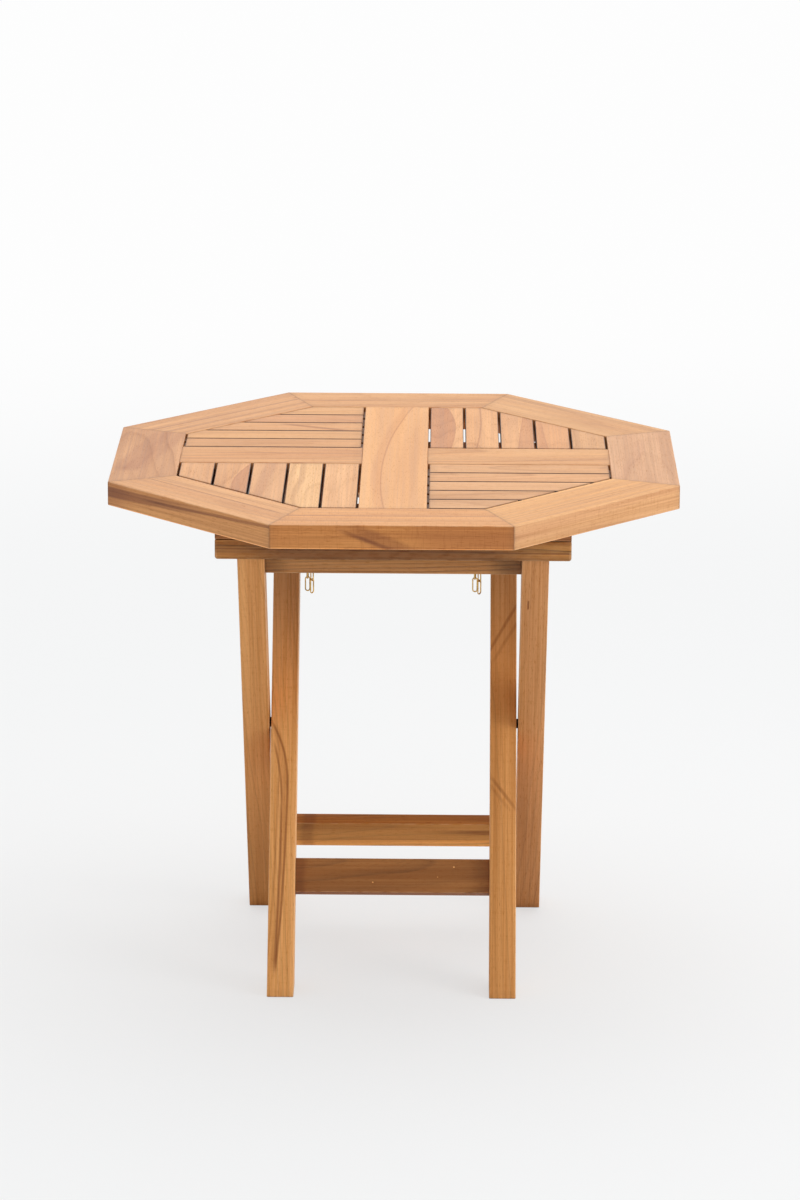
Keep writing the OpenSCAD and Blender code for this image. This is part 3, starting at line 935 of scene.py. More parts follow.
class Teak(Enum):
    """The four kinds of board, by the colours of their oiled teak; the rails' darker colours are
    partly painted shade.
    """

    FRAME = TeakFinish("teak_frame", dusty=0.28)
    SLAT = TeakFinish("teak_slat", (0.650, 0.335, 0.142), (0.520, 0.235, 0.085), rubbed=0.2)
    # partly painted shade, since most rails and bearers stand under the top, and partly darker wood
    RAIL = TeakFinish(
        "teak_rail", (0.440, 0.185, 0.055), (0.310, 0.122, 0.034), (0.130, 0.058, 0.022), 0.28
    )
    LEG = TeakFinish(
        "teak_leg", (0.640, 0.350, 0.155), (0.500, 0.250, 0.098), (0.210, 0.110, 0.052), 0.28
    )


@dataclass(frozen=True)
class MetalFinish:
    """A plated or plain metal, with its dull patches and scratches."""

    name: str
    slot: str
    color: RGB
    dull: RGB
    roughness: float
    metallic: float = 1.0
    grain: float = 900.0
    scratch: float = 0.12
    scratch_depth: float = 0.0001

    def material(self) -> bpy.types.Material:
        """Builds the material once and gives it back on later calls."""
        if self.name in bpy.data.materials:
            return bpy.data.materials[self.name]
        material, g, shader = Graph.material(self.name)
        wear = EFFECTS.use(g, "metal_wear", place=g.spot(), grain=self.grain)
        g.feed(shader, {
            "Base Color": g.mix(wear["dull"], self.color, self.dull),
            "Roughness": wear["dull"] * 0.22 + self.roughness, "Metallic": self.metallic,
            "Normal": g.bump(wear["scratch"], self.scratch, self.scratch_depth),
        })
        return material


class Metal(Enum):
    """The finishes of screws, hinges, chains and bolts."""

    BRASS = MetalFinish("old_brass", "brass", (0.72, 0.48, 0.17), (0.42, 0.27, 0.10), 0.26)
    ZINC = MetalFinish("zinc_plate", "zinc_steel", (0.62, 0.62, 0.60), (0.42, 0.42, 0.41), 0.34)
    NYLON = MetalFinish(
        "black_nylon", "black_nylon", (0.018, 0.018, 0.018), (0.03, 0.03, 0.03), 0.42, 0.0
    )


# ------------------------------------------------------------- boards


@dataclass
class Board:
    """One board: the node that it stands for, its loft, its place and its finish."""

    node: str
    loft: Loft
    place: Placement
    kind: Teak
    grain: Placement | None = None
    extra: Shape | None = None

    def make(self, body: str, cut: Cut) -> bpy.types.Object:
        """Builds the board, dresses it and puts it on its body.

        Args:
            body: the body that it rides on.
            cut: what the board shows.

        Returns:
            The finished object.
        """
        shape = self.loft.build(self.place)
        if self.extra is not None:
            shape = Shape.merged([shape, self.extra])
        thing = to_object(self.node + "_board", shape)
        if self.kind is Teak.SLAT:
            cut = replace(cut, flank=SHADED_SIDE)
        self.kind.value.dress(thing, self.grain or self.place, cut)
        put_in_place(thing, self.node, body)
        return thing


def steady(name: str) -> np.random.Generator:
    """Random numbers that depend on a board's name alone."""
    return np.random.default_rng(sum((i + 3) * ord(c) for i, c in enumerate(name)))


def plain_cut(name: str) -> Cut:
    """An ordinary board: small seeded changes of tone, ring width and pith.

    Args:
        name: the board's node.

    Returns:
        Its cut.
    """
    draw = steady(name).uniform
    smooth = name.startswith("slat")
    calm = 0.6 if smooth else (0.7 if name.startswith("rim") else 1.0)
    light = 1.0 + draw(-0.05, 0.05)
    warm = draw(-0.02, 0.02)
    return Cut(
        seed=draw(0, 9),
        tone=(light, light * (1 - warm), light * (1 - 2.5 * warm)),
        pith=(draw(-0.03, 0.03), -draw(0.04, 0.16)),
        lean=(draw(-0.03, 0.03), draw(-0.08, 0.08)),
        ring=draw(0.005, 0.010),
        contrast=draw(0.60, 0.90) * calm,
        banding=draw(0.6, 1.0) * calm,
        fine=0.26 if smooth else 0.34,
        wander=draw(0.010, 0.026),
    )


class Cuts(dict):
    """Cuts by node; a board without a cut of its own has a plain one."""

    def __missing__(self, name: str) -> Cut:
        """The plain cut of a board."""
        return plain_cut(name)


@dataclass(frozen=True)
class TableTop:
    """Frame boards, centre board, cross rails, slats and bearers of the top."""

    size: Sizes
    cuts: Cuts
    body: str = "table_top"
    rim_names: tuple[str, ...] = (
        "rim_front", "rim_front_right", "rim_right", "rim_back_right",
        "rim_back", "rim_back_left", "rim_left", "rim_front_left",
    )
    panel_names: tuple[str, ...] = ("right_back", "left_back", "left_front", "right_front")
    groove_dust: float = 6.0  # painted shade on the tongues deep in the slat gaps: their end mask is this many times a board end's

    @property
    def section(self) -> Section:
        """Section of the frame boards, the centre board and the cross rails."""
        return Section(self.size.board_w, self.size.board_t)

    @property
    def middle(self) -> Array:
        """Middle of the frame boards' thickness, over the middle of the floor."""
        return (self.size.height - self.size.board_t / 2) * Z

    def rim(self, k: int) -> Board:
        """Frame board k, counted anticlockwise from the front, with a mitre at each end."""
        out = self.size.half - self.size.board_w / 2
        reach = out * TAN_MITRE - MITRE_CLEAR
        ends = mitre(-reach, TAN_MITRE), mitre(reach, -TAN_MITRE)
        loft = Loft(self.section, *ends, end_round=0.00025, seed=0.13 * k)
        place = Placement(self.middle - out * Y, X, Y).spun(45 * k)
        return Board(self.rim_names[k], loft, place, Teak.FRAME)

    def centre(self) -> Board:
        """Centre board from the front frame board to the back one."""
        reach = self.size.inner_half - CLEAR
        loft = beam(self.section, -reach, reach, end_round=0.0004, stations=30)
        return Board("centre_board", loft, Placement(self.middle, Y, -X), Teak.FRAME)

    def cross(self, side: int, hand: str) -> Board:
        """Cross rail on the right (side 1) or on the left (side -1)."""
        low, high = self.size.board_w / 2 + CLEAR, self.size.inner_half - CLEAR
        loft = beam(self.section, low, high, end_round=0.0004, seed=0.4 * side)
        place = Placement(self.middle, side * X, side * Y)
        return Board(f"cross_rail_{hand}", loft, place, Teak.FRAME)

    def slat(self, q: int, i: int) -> Board:
        """Slat i of panel q, cut off along the panel's diagonal, with its tongues.

        Its far end lies at min(e, e (1 + tan 22.5) - x), with e the panel's edge.
        """
        s = self.size
        near = s.board_w / 2
        free = s.inner_half - near - (s.slat_count + 1) * s.slat_gap
        width = free / s.slat_count
        mid = near + s.slat_gap + (i - 1) * (width + s.slat_gap) + width / 2
        z = s.height - s.slat_t / 2

        def far(inset: float) -> EndCut:
            """End cut along the panel's outline, moved inwards by inset."""
            edge = s.inner_half - inset
            return lambda a, b: np.minimum(edge, edge * (1 + TAN_MITRE) - (mid - a))

        place = Placement(mid * X + z * Z, Y, -X).spun(90 * q)
        # the slats' side mask reaches onto the arrises, which widens the painted shade of the gaps
        loft = Loft(
            Section(width, s.slat_t, 0.0014, 0.0012, spacing=0.002, side_gain=2.6, side_from=0.25),
            straight(near + s.slat_gap), far(s.slat_gap), end_round=0.0010, stations=14,
            seed=0.21 * i + q,
        )
        tongue_z = s.height - s.tongue_down + s.tongue_t / 2 - z
        tongues = Loft(
            Section(width - s.tongue_in, s.tongue_t, 0.0006, 0.0006, spacing=0.004),
            straight(near - s.tongue_bite), far(-s.tongue_bite), end_round=0.0003,
            uneven=0.0, stations=3,
        ).build(replace(place, origin=place.origin + tongue_z * Z))
        # painted shade: the tongues take the full dark colour through the end mask
        tongues.values["end"] = np.full(len(tongues.points), self.groove_dust)
        name = f"slat_{self.panel_names[q]}_{i}"
        return Board(name, loft, place, Teak.SLAT, extra=tongues)

    def bearers(self) -> list[Board]:
        """Front and rear batten and the two runners under the top."""
        s = self.size
        low, high = s.cap_front + s.cap_w, s.rear_front
        front_h, half, reach = s.batten_h - s.joint_gap / 2, s.cap_l / 2, (high - low) / 2 - CLEAR
        front = beam(Section(s.cap_w, front_h), -half, half, end_round=0.0012, stations=26)
        rear = beam(Section(s.rear_batten_t, s.batten_h), -half, half, end_round=0.0012)
        runner = beam(Section(s.runner_w, s.runner_h, 0.0012, 0.0012), -reach, reach)
        mid_y = (low + high) / 2
        rows = [
            ("front_batten", front, 0.0, s.cap_front + s.cap_w / 2, X, Y),
            ("rear_batten", rear, 0.0, s.rear_front + s.rear_batten_t / 2, X, Y),
            *((f"runner_{hand}", runner, side * s.runner_x, mid_y, Y, -X)
              for side, hand in HANDS),
        ]
        boards = []
        for name, loft, x, y, length, width in rows:
            middle = np.array([x, y, s.under_z - loft.section.thick / 2])
            boards.append(Board(name, loft, Placement(middle, length, width), Teak.RAIL))
        return boards

    def build(self) -> None:
        """Makes every board of the top."""
        boards = [self.rim(k) for k in range(len(self.rim_names))]
        boards += [self.centre(), *(self.cross(*hand) for hand in HANDS)]
        slats = range(1, self.size.slat_count + 1)
        boards += [self.slat(q, i) for q in range(len(self.panel_names)) for i in slats]
        for board in boards + self.bearers():
            board.make(self.body, self.cuts[board.node])


class Way(Enum):
    """Which of the two leg frames; its value is 1 where the tops lean to the front."""

    OUTER = 1
    INNER = -1

    @property
    def word(self) -> str:
        """The frame's word in names."""
        return self.name.lower()

    @property
    def up(self) -> Array:
        """Direction up along the legs."""
        return np.array([0.0, -self.value * math.sin(SIZES.lean), math.cos(SIZES.lean)])

    @property
    def ahead(self) -> Array:
        """Direction across the legs, towards the front."""
        return np.array([0.0, -math.cos(SIZES.lean), -self.value * math.sin(SIZES.lean)])


@dataclass(frozen=True)
class LegFrame:
    """Two legs and their rails, in the plane of one leg frame."""

    size: Sizes
    way: Way
    cuts: Cuts

    @property
    def pivot(self) -> Array:
        """Middle of the frame on the line of the pivot bolts."""
        return self.size.pivot_h * Z

    def level(self, z: float) -> EndCut:
        """An end cut level at height z: along = (z - pivot - across * a_z) / up_z."""
        up, ahead = self.way.up, self.way.ahead
        return lambda a, b: (z - self.size.pivot_h - a * ahead[2]) / up[2]

    def leg(self, side: int, hand: str) -> Board:
        """One leg between the floor and its level top."""
        s = self.size
        outer = self.way is Way.OUTER
        low, high = (s.outer_in, s.frame_w / 2) if outer else (s.inner_in, s.inner_out)
        top = s.cap_z - CLEAR if outer else s.joint_z - s.inner_top_drop
        middle = self.pivot + side * (low + high) / 2 * X
        loft = Loft(
            Section(s.leg_w, s.leg_t), self.level(0.0), self.level(top), end_round=0.0014,
            stations=34, seed=side * 0.3,
        )
        place = Placement(middle, self.way.up, self.way.ahead)
        return Board(f"{self.way.word}_leg_{hand}", loft, place, Teak.LEG)

    def rail(self, height: float, reach: float) -> Board:
        """Lower rail between the legs at one height, in the frame's plane."""
        s = self.size
        down = (s.pivot_h - height) / math.cos(s.lean)
        reach -= CLEAR
        section = Section(s.rail_w, s.rail_t)
        loft = beam(section, -reach, reach, end_round=0.0003, stations=26)
        place = Placement(self.pivot - down * self.way.up, X, self.way.up)
        return Board(f"{self.way.word}_lower_rail", loft, place, Teak.RAIL)

    def outer_rails(self) -> list[Board]:
        """Top rail, lower rail and cap rail of the outer frame."""
        s = self.size
        reach = s.outer_in - CLEAR
        section = Section(s.rail_t, s.top_rail_h)
        top = beam(section, -reach, reach, end_round=0.0003, stations=26)
        y = s.cap_front + s.top_rail_set + s.rail_t / 2
        place = Placement(np.array([0.0, y, s.cap_z - s.top_rail_h / 2]), X, Y)
        return [
            Board("outer_top_rail", top, place, Teak.RAIL),
            self.rail(s.outer_rail_h, s.outer_in),
            self.cap_rail(),
        ]

    def inner_rails(self) -> list[Board]:
        """Top rail, with its round upper edge, and lower rail of the inner frame."""
        s = self.size
        reach = s.inner_in - CLEAR
        section = Section(2 * s.bar_r, s.bar_h, s.bar_r - 0.0002, spacing=0.012, arc_steps=12)
        top = beam(section, -reach, reach, end_round=0.0003)
        middle = (s.bar_z - s.pivot_h) / math.cos(s.lean) + s.bar_r - s.bar_h / 2
        place = Placement(self.pivot + middle * self.way.up, X, -self.way.ahead)
        return [
            Board("inner_top_rail", top, place, Teak.RAIL),
            self.rail(s.inner_rail_h, s.inner_in),
        ]

    def cap_rail(self) -> Board:
        """Cap rail on the outer legs; its outline is carried from front to back.

        The outline is the long front face, whose lower corners are rounded by 4 mm.
        """
        s = self.size
        h = s.cap_t - s.joint_gap / 2
        middle = np.array([0.0, s.cap_front + s.cap_w / 2, s.cap_z + h / 2])
        face, reach = Section(s.cap_l, h, round_down=0.0040, spacing=0.010), s.cap_w / 2
        loft = beam(face, -reach, reach, end_round=0.0014, stations=8, dusty=0.0)
        place, grain = Placement(middle, Y, -X), Placement(middle, X, Y)
        return Board("cap_rail", loft, place, Teak.RAIL, grain)

    def build(self) -> None:
        """Makes the boards of this frame and sinks the bolt holes into the legs."""
        body = self.way.word + "_frame"
        outer = self.way is Way.OUTER
        face = self.size.frame_w / 2 if outer else self.size.inner_in
        for side, hand in HANDS:
            board = self.leg(side, hand)
            thing = board.make(body, self.cuts[board.node])
            out = side * X if outer else -side * X
            sunk(thing, sinking(self.pivot + side * face * X, out))
        for board in self.outer_rails() if outer else self.inner_rails():
            board.make(body, self.cuts[board.node])


def sinking(mouth: Array, out: Array) -> Shape:
    """The round hole for a bolt head or nut: 22 mm wide, 9 mm deep, with an 8.2 mm bore.

    Args:
        mouth: centre of the mouth on the leg's face.
        out: direction out of the mouth.

    Returns:
        The closed cutter.
    """
    wide, deep, bore, through, bevel, over = 0.011, 0.009, 0.0041, 0.040, 0.0008, 0.002
    profile = [
        (0, -through), (bore, -through), (bore, -deep), (wide, -deep), (wide, -bevel),
        (wide + bevel, 0.0), (wide + bevel, over), (0, over),
    ]
    return turned(profile, mouth, out)


# ----------------------------------------------------------- hardware


@dataclass(frozen=True)
class Hardware:
    """Pivot bolts, spacers, screw eyes and chains, and the plain nodes' finishes."""

    size: Sizes
    wire: float = 0.0018
    eye_wire: float = 0.0020
    eye_r: float = 0.0055
    eye_roll: float = 28.0
    eye_out: float = 0.013
    eye_up: float = 0.0185
    eye_shank: float = 0.014
    eye_tip: float = 0.0003
    strand_x: float = 0.0031
    chain_x: float = 0.118
    link_l: float = 0.022
    link_w: float = 0.008
    hang: float = 0.0026
    lap: float = 0.0021
    deep: float = 0.009
    washer_t: float = 0.0016
    washer_r: float = 0.009
    spacer_r: float = 0.007
    play: float = 0.0003
    nut_h: float = 0.0065
    bolt_r: float = 0.004
    flat: float = 0.0065
    crown: float = 0.93  # share of the hexagon left by its bevel
    under_crown: float = 0.98
    head_h: float = 0.005
    head_rim: float = 0.0044
    tip_bevel: float = 0.0007
    nut_bevel: float = 0.0005
    skin: float = 0.00002  # keeps the washer's face off the bottom of the sinking

    @staticmethod
    def fit(name: str, shapes: list[Shape], node: str, body: str, metal: Metal) -> None:
        """Puts a finished piece in the place of a node.

        Args:
            name: the piece's name.
            shapes: its closed parts.
            node: the node that it stands for.
            body: the body that it rides on.
            metal: its finish.
        """
        thing = to_object(name, Shape.merged(shapes))
        cleaned(thing)
        thing.data.shade_smooth()
        thing.data.set_sharp_from_angle(angle=math.radians(35))
        thing.data.materials.append(metal.value.material())
        put_in_place(thing, node, body)

    def link_path(self) -> Array:
        """Centre line of one link about its middle, in the plane y = 0.

        Two half circles of radius r = (width - wire) / 2 about (0, +-s), joined by
        straight sides, with s = (length - width) / 2.
        """
        r, s = (self.link_w - self.wire) / 2, (self.link_l - self.link_w) / 2
        a = np.linspace(0, np.pi, 15)
        side = np.linspace(s, -s, 7)[1:-1]
        flank = np.full(side.size, r)
        x = np.concatenate([r * np.cos(a), -flank, -r * np.cos(a), flank])
        z = np.concatenate([s + r * np.sin(a), side, -s - r * np.sin(a), side[::-1]])
        return np.stack([x, np.zeros_like(x), z], axis=1)

    def eye(self, place: Array) -> Shape:
        """One screw eye: a straight shank that runs into a rolled ring.

        Args:
            place: where its shank leaves the wood.

        Returns:
            The eye's wire.
        """
        roll, r = math.radians(self.eye_roll), self.eye_r
        plane = np.array([math.sin(roll), 0.0, math.cos(roll)])
        flat = np.array([math.cos(roll), 0.0, -math.sin(roll)])
        a = np.radians(np.linspace(-90, 245, 40))
        ring = np.stack([r * np.cos(a), self.eye_out - r + r * np.sin(a)], axis=1)
        shank = np.linspace(-self.eye_shank, self.eye_out - 2 * r - 0.0004, 8)
        path = np.concatenate([np.stack([np.zeros(8), shank], axis=1), ring])
        radii = np.full(len(path), self.eye_wire / 2)
        radii[0] = self.eye_tip
        local = path[:, :1] * flat + path[:, 1:] * Y
        return tube(place + local, plane, radii, closed=False)

    def chain(self, place: Array) -> list[Shape]:
        """The six links that hang doubled from the screw eye at a place."""
        roll = math.radians(self.eye_roll)
        across = self.strand_x / math.cos(roll)
        wire_y = self.eye_out - self.eye_r + math.sqrt(self.eye_r**2 - across**2)
        line, links = self.link_path(), []
        radii = np.full(len(line), self.wire / 2)
        reach = self.link_l - self.wire
        for hand, angles in ((-1, (140, 75, 0)), (1, (60, 125, 50))):
            top = -hand * across * math.sin(roll) + self.hang
            for i, angle in enumerate(angles):
                z = top - reach / 2 - i * (reach - self.lap)
                at = place + np.array([hand * self.strand_x, wire_y, z])
                turned_line = np.stack([spun(p, angle) for p in line])
                links.append(tube(turned_line + at, spun(Y, angle), radii, closed=True))
        return links

    def chains(self) -> None:
        """Two screw eyes, and from each a chain of six links that hangs doubled."""
        s = self.size
        back = s.cap_front + s.top_rail_set + s.rail_t
        eye_z = s.cap_z - s.top_rail_h + self.eye_up
        eyes = []
        for side, hand in HANDS:
            place, body = np.array([side * self.chain_x, back, eye_z]), f"chain_{hand}"
            self.fit(body + "_links", self.chain(place), body, body, Metal.BRASS)
            eyes.append(self.eye(place))
        self.fit("screw_eyes", eyes, "chain_eyes", "outer_frame", Metal.BRASS)

    @staticmethod
    def hexagon(sides: int = 72) -> Array:
        """Radius of a hexagon of unit half width at each angle: 1 / cos(angle mod 60 - 30)."""
        a = np.linspace(0, 2 * np.pi, sides, endpoint=False)
        return 1 / np.cos(np.mod(a, np.pi / 3) - np.pi / 6)

    def pivots(self) -> None:
        """Bolts with hexagon heads, washers, nuts and the black spacers between the legs."""
        s, r, flat, wall = self.size, self.bolt_r, self.flat, self.washer_t
        face, floor = s.frame_w / 2 - self.deep, s.inner_in + self.deep
        seat = face + wall
        nut = floor - wall - self.play - self.nut_h
        lid, tip, neck, rise = nut + self.nut_h, nut - 0.0005, seat + 0.001, seat + self.head_h
        cut, bevel, narrow = self.tip_bevel, self.nut_bevel, flat * self.crown
        shank = [(0, tip), (r - cut, tip), (r, tip + cut), (r, neck), (0, neck)]
        head = [
            (0, seat), (flat * self.under_crown, seat), (flat, seat + 0.0003),
            (flat, seat + self.head_rim), (narrow, rise), (0, rise),
        ]
        ring = [
            (r, nut), (narrow, nut), (flat, nut + bevel), (flat, lid - bevel), (narrow, lid),
            (r, lid), (r, nut),
        ]
        front = self.washer(face + self.skin, wall - self.skin, self.washer_r)
        back = self.washer(floor - wall - self.play, wall - self.skin, self.washer_r)
        spacer = self.washer(s.inner_out + self.play, s.leg_play - self.play, self.spacer_r)
        six = self.hexagon()
        for name, node, metal, profiles in (
            ("pivot_bolt_pair", "pivot_bolts", Metal.ZINC, ((shank, None), (head, six))),
            ("pivot_washer_set", "pivot_washers", Metal.ZINC, ((front, None), (back, None))),
            ("pivot_nut_pair", "pivot_nuts", Metal.ZINC, ((ring, six),)),
            ("pivot_spacer_pair", "pivot_spacers", Metal.NYLON, ((spacer, None),)),
        ):
            shapes = [
                turned(profile, s.pivot_h * Z, side * X, around)
                for side, _ in HANDS for profile, around in profiles
            ]
            self.fit(name, shapes, node, "outer_frame", metal)

    def washer(self, low: float, thick: float, outer: float) -> list[tuple[float, float]]:
        """Profile of a flat ring on the bolt, whose outer arrises are softened by 0.3 mm."""
        e, inner, high = min(0.0003, thick / 4), self.bolt_r, low + thick
        return [
            (inner, low), (outer - e, low), (outer, low + e), (outer, high - e),
            (outer - e, high), (inner, high), (inner, low),
        ]

    @staticmethod
    def plain_nodes() -> None:
        """Finishes of the nodes that keep their own solids."""
        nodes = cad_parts
        for name in (
            "top_screws", "hinge_upper_leaves", "hinge_upper_screws", "hinge_pins",
            "hinge_lower_leaves", "hinge_lower_screws",
        ):
            nodes[name].data.materials.clear()
            nodes[name].data.materials.append(Metal.BRASS.value.material())
        place = Placement(np.zeros(3), X, Y)
        Teak.SLAT.value.dress(nodes["mitre_dowels"], place, plain_cut("mitre_dowels"))

    def build(self) -> None:
        """Makes the chains and pivots and finishes the plain nodes."""
        self.chains()
        self.pivots()
        self.plain_nodes()


# -------------------------------------------------------------- looks

ALONG, ACROSS, THROUGH = (1.0, 0.0, 0.0), (0.0, 1.0, 0.0), (0.0, 0.0, 1.0)
PLUM, BROWN, DARK = (0.74, 0.62, 0.60), (0.66, 0.54, 0.44), (0.50, 0.38, 0.30)


def vessel_line(offset: float, thin: float = 0.0006, **more: object) -> Streak:
    """A thin straight line along the board, such as a glue line or a vessel row."""
    return Streak(ACROSS, offset, thin, 0.0006, waver=0.0006, **more)


def shows(tone: RGB, *streaks: Streak, **more: object) -> dict[str, object]:
    """What a board has in place of its plain cut's own values. Each tone was matched to how its
    board looks lit, so besides the wood's own colour it holds some painted light and shade.
    """
    return {"tone": tone, "streaks": streaks, **more}


def top_cuts() -> dict[str, dict[str, object]]:
    """What the boards of the top show, by node name."""
    line = vessel_line
    crack = Streak(
        (0.371, 0.0, 0.929), -0.0166, 0.0004, 0.0045, 0.010, -0.088, 0.022, 0.06, only=1,
        depth=0.9, stain=DARK,
    )
    crack_shade = replace(
        crack, offset=-0.0110, reach=0.0060, softness=0.008, stop=0.06, depth=0.6
    )
    red_third = Streak(
        ALONG, 0.115, 0.050, 0.060, 0.02, only=1, depth=0.55, stain=(0.78, 0.66, 0.60)
    )
    # painted highlight: a pale line along the lower arris of the side faces
    foot_highlight = Streak(
        THROUGH, -0.0168, 0.0010, 0.0006, 0.0004, only=1, depth=1.0, stain=(1.7, 1.7, 1.7)
    )
    arc = Streak(
        ACROSS, 0.0187, 0.0003, 0.0016, 0.003, bow=0.22, bend=-0.13, depth=0.75,
        stain=(0.76, 0.64, 0.56),
    )
    arc_band = replace(
        arc, offset=0.0250, reach=0.0030, softness=0.0070, depth=0.6, stain=(0.88, 0.80, 0.76)
    )
    flame = Streak(
        (0.187, 0.982, 0.0), -0.0035, 0.0040, 0.010, 0.030, -0.15, 0.11, depth=0.60, stain=PLUM
    )

    def side_band(steer: RGB, *band: float, **more: object) -> Streak:
        """A band on the side faces alone."""
        return Streak(steer, *band, only=1, **more)

    def plum_side(steer: RGB, offset: float, waver: float, depth: float, edge: float) -> Streak:
        """One side of a slat in plum-coloured heartwood."""
        return Streak(steer, offset, 0.0200, 0.0015, waver, depth=depth, edge=edge, stain=PLUM)

    return {
        "rim_front": shows(
            (1.04, 0.96, 0.80), line(0.0045, depth=0.9), line(-0.020, 0.0012, depth=0.3), crack,
            crack_shade, red_third, foot_highlight, sawn=0.16, flank=(0.96, 0.82, 0.57),
        ),
        "rim_front_left": shows(
            (1.0, 0.97, 0.93), line(0.0075, start=-0.160, stop=0.142, depth=1.0, stain=DARK),
            line(0.024, 0.0010, depth=0.35),
            side_band((-0.02, 0.0, 1.0), 0.0075, 0.0048, 0.0035, 0.008, -0.3, 0.05, 0.14,
                      depth=0.9, edge=0.3, stain=DARK),
            side_band((-0.03, 0.0, 1.0), 0.0080, 0.0008, 0.0025, 0.006, -0.1, 0.3, 0.05,
                      depth=0.85, stain=DARK),
            side_band(ALONG, -0.165, 0.016, 0.050, 0.02, depth=0.6, stain=BROWN), foot_highlight,
            flank=(1.04, 0.93, 0.72),
        ),
        "rim_front_right": shows(
            (1.06, 1.04, 0.88),
            side_band((-0.04, 0.0, 1.0), 0.0100, 0.0020, 0.010, 0.012, depth=0.45,
                      stain=(0.84, 0.74, 0.72)),
            side_band((0.06, 0.0, 1.0), -0.0120, 0.0020, 0.005, 0.006, depth=0.25, stain=BROWN),
            line(-0.012, 0.0015, depth=0.35), replace(foot_highlight, stain=(1.25, 1.25, 1.25)),
            flank=(0.98, 1.0, 1.17), contrast=0.25, banding=0.35, sawn=0.12,
        ),
        "rim_left": shows(
            (0.84, 0.79, 0.83), flame, replace(flame, offset=0.0110, depth=0.4),
            replace(flame, offset=-0.0190, depth=0.45),
        ),
        "rim_right": shows(
            (0.93, 0.97, 1.20),
            replace(flame, offset=0.012, depth=0.3, stain=(0.86, 0.78, 0.80)), contrast=0.15,
        ),
        "rim_back_right": shows((0.97, 0.99, 1.0), line(-0.030, 0.006, depth=0.35)),
        "rim_back_left": shows(
            (0.93, 0.89, 0.88), line(-0.004, 0.0016, depth=0.5), line(0.020, 0.004, depth=0.3)
        ),
        "rim_back": shows((0.97, 0.95, 0.93), line(0.006, 0.002, depth=0.3)),
        "centre_board": shows(
            (1.16, 1.18, 1.16), arc, arc_band,
            replace(arc, offset=-0.020, reach=0.0060, softness=0.020, depth=0.30),
            contrast=0.12, fine=0.16, banding=0.4,
        ),
        "cross_rail_left": shows(
            (1.03, 1.0, 0.95), line(0.022, depth=0.4), line(-0.012, 0.0010, depth=0.4)
        ),
        "cross_rail_right": shows(
            (1.03, 1.02, 0.97), line(0.010, depth=0.4), line(-0.020, 0.0010, depth=0.4)
        ),
        "slat_left_front_1": shows((1.10, 1.14, 1.20), contrast=0.3),
        "slat_left_front_2": shows(
            (1.14, 1.26, 1.30), Streak(ACROSS, -0.006, 0.0012, 0.004, 0.030, depth=0.4),
            contrast=0.35,
        ),
        "slat_left_front_3": shows(
            (1.0, 1.0, 1.04),
            Streak((0.1, 1.0, 0.0), 0.010, 0.0050, 0.008, 0.030, depth=0.45, stain=PLUM),
        ),
        "slat_left_front_4": shows(
            (1.02, 1.0, 1.0),
            Streak(ACROSS, 0.0140, 0.0120, 0.0015, 0.004, 0.045, 1.0, bow=-1.23, bend=0.19,
                   depth=0.8, edge=0.9, stain=PLUM),
        ),
        "slat_left_front_5": shows((1.0, 0.98, 0.99), contrast=0.4),
        "slat_right_back_1": shows(
            (1.04, 1.03, 1.03),
            Streak(ACROSS, 0.0094, 0.0200, 0.0012, 0.012, bow=-0.5, bend=0.16, depth=0.95,
                   edge=1.0, stain=PLUM),
            contrast=0.3,
        ),
        "slat_right_back_2": shows(
            (1.06, 1.05, 1.04),
            Streak(ACROSS, 0.0005, 0.0004, 0.0014, 0.006, bow=-0.25, bend=0.22, depth=0.7,
                   stain=BROWN),
        ),
        "slat_right_back_3": shows(
            (1.02, 1.0, 1.0), plum_side((0.047, 1.0, 0.0), -0.0179, 0.006, 0.6, 0.5)
        ),
        "slat_right_back_4": shows(
            (1.06, 1.03, 1.04), plum_side((-0.046, 1.0, 0.0), 0.0260, 0.006, 0.5, 0.4)
        ),
        "slat_right_back_5": shows((0.92, 0.92, 0.93)),
        "slat_left_back_1": shows((0.94, 0.90, 0.86)),
        "slat_left_back_2": shows((1.04, 1.04, 0.96)),
        "slat_left_back_3": shows(
            (0.97, 0.93, 0.88),
            Streak((0.40, 1.0, 0.0), 0.0520, 0.0030, 0.004, 0.004, 0.06, 0.18, depth=0.9,
                   edge=0.5, stain=BROWN),
        ),
        "slat_left_back_4": shows((0.93, 0.86, 0.86)),
        "slat_left_back_5": shows((1.04, 1.04, 0.98)),
    }


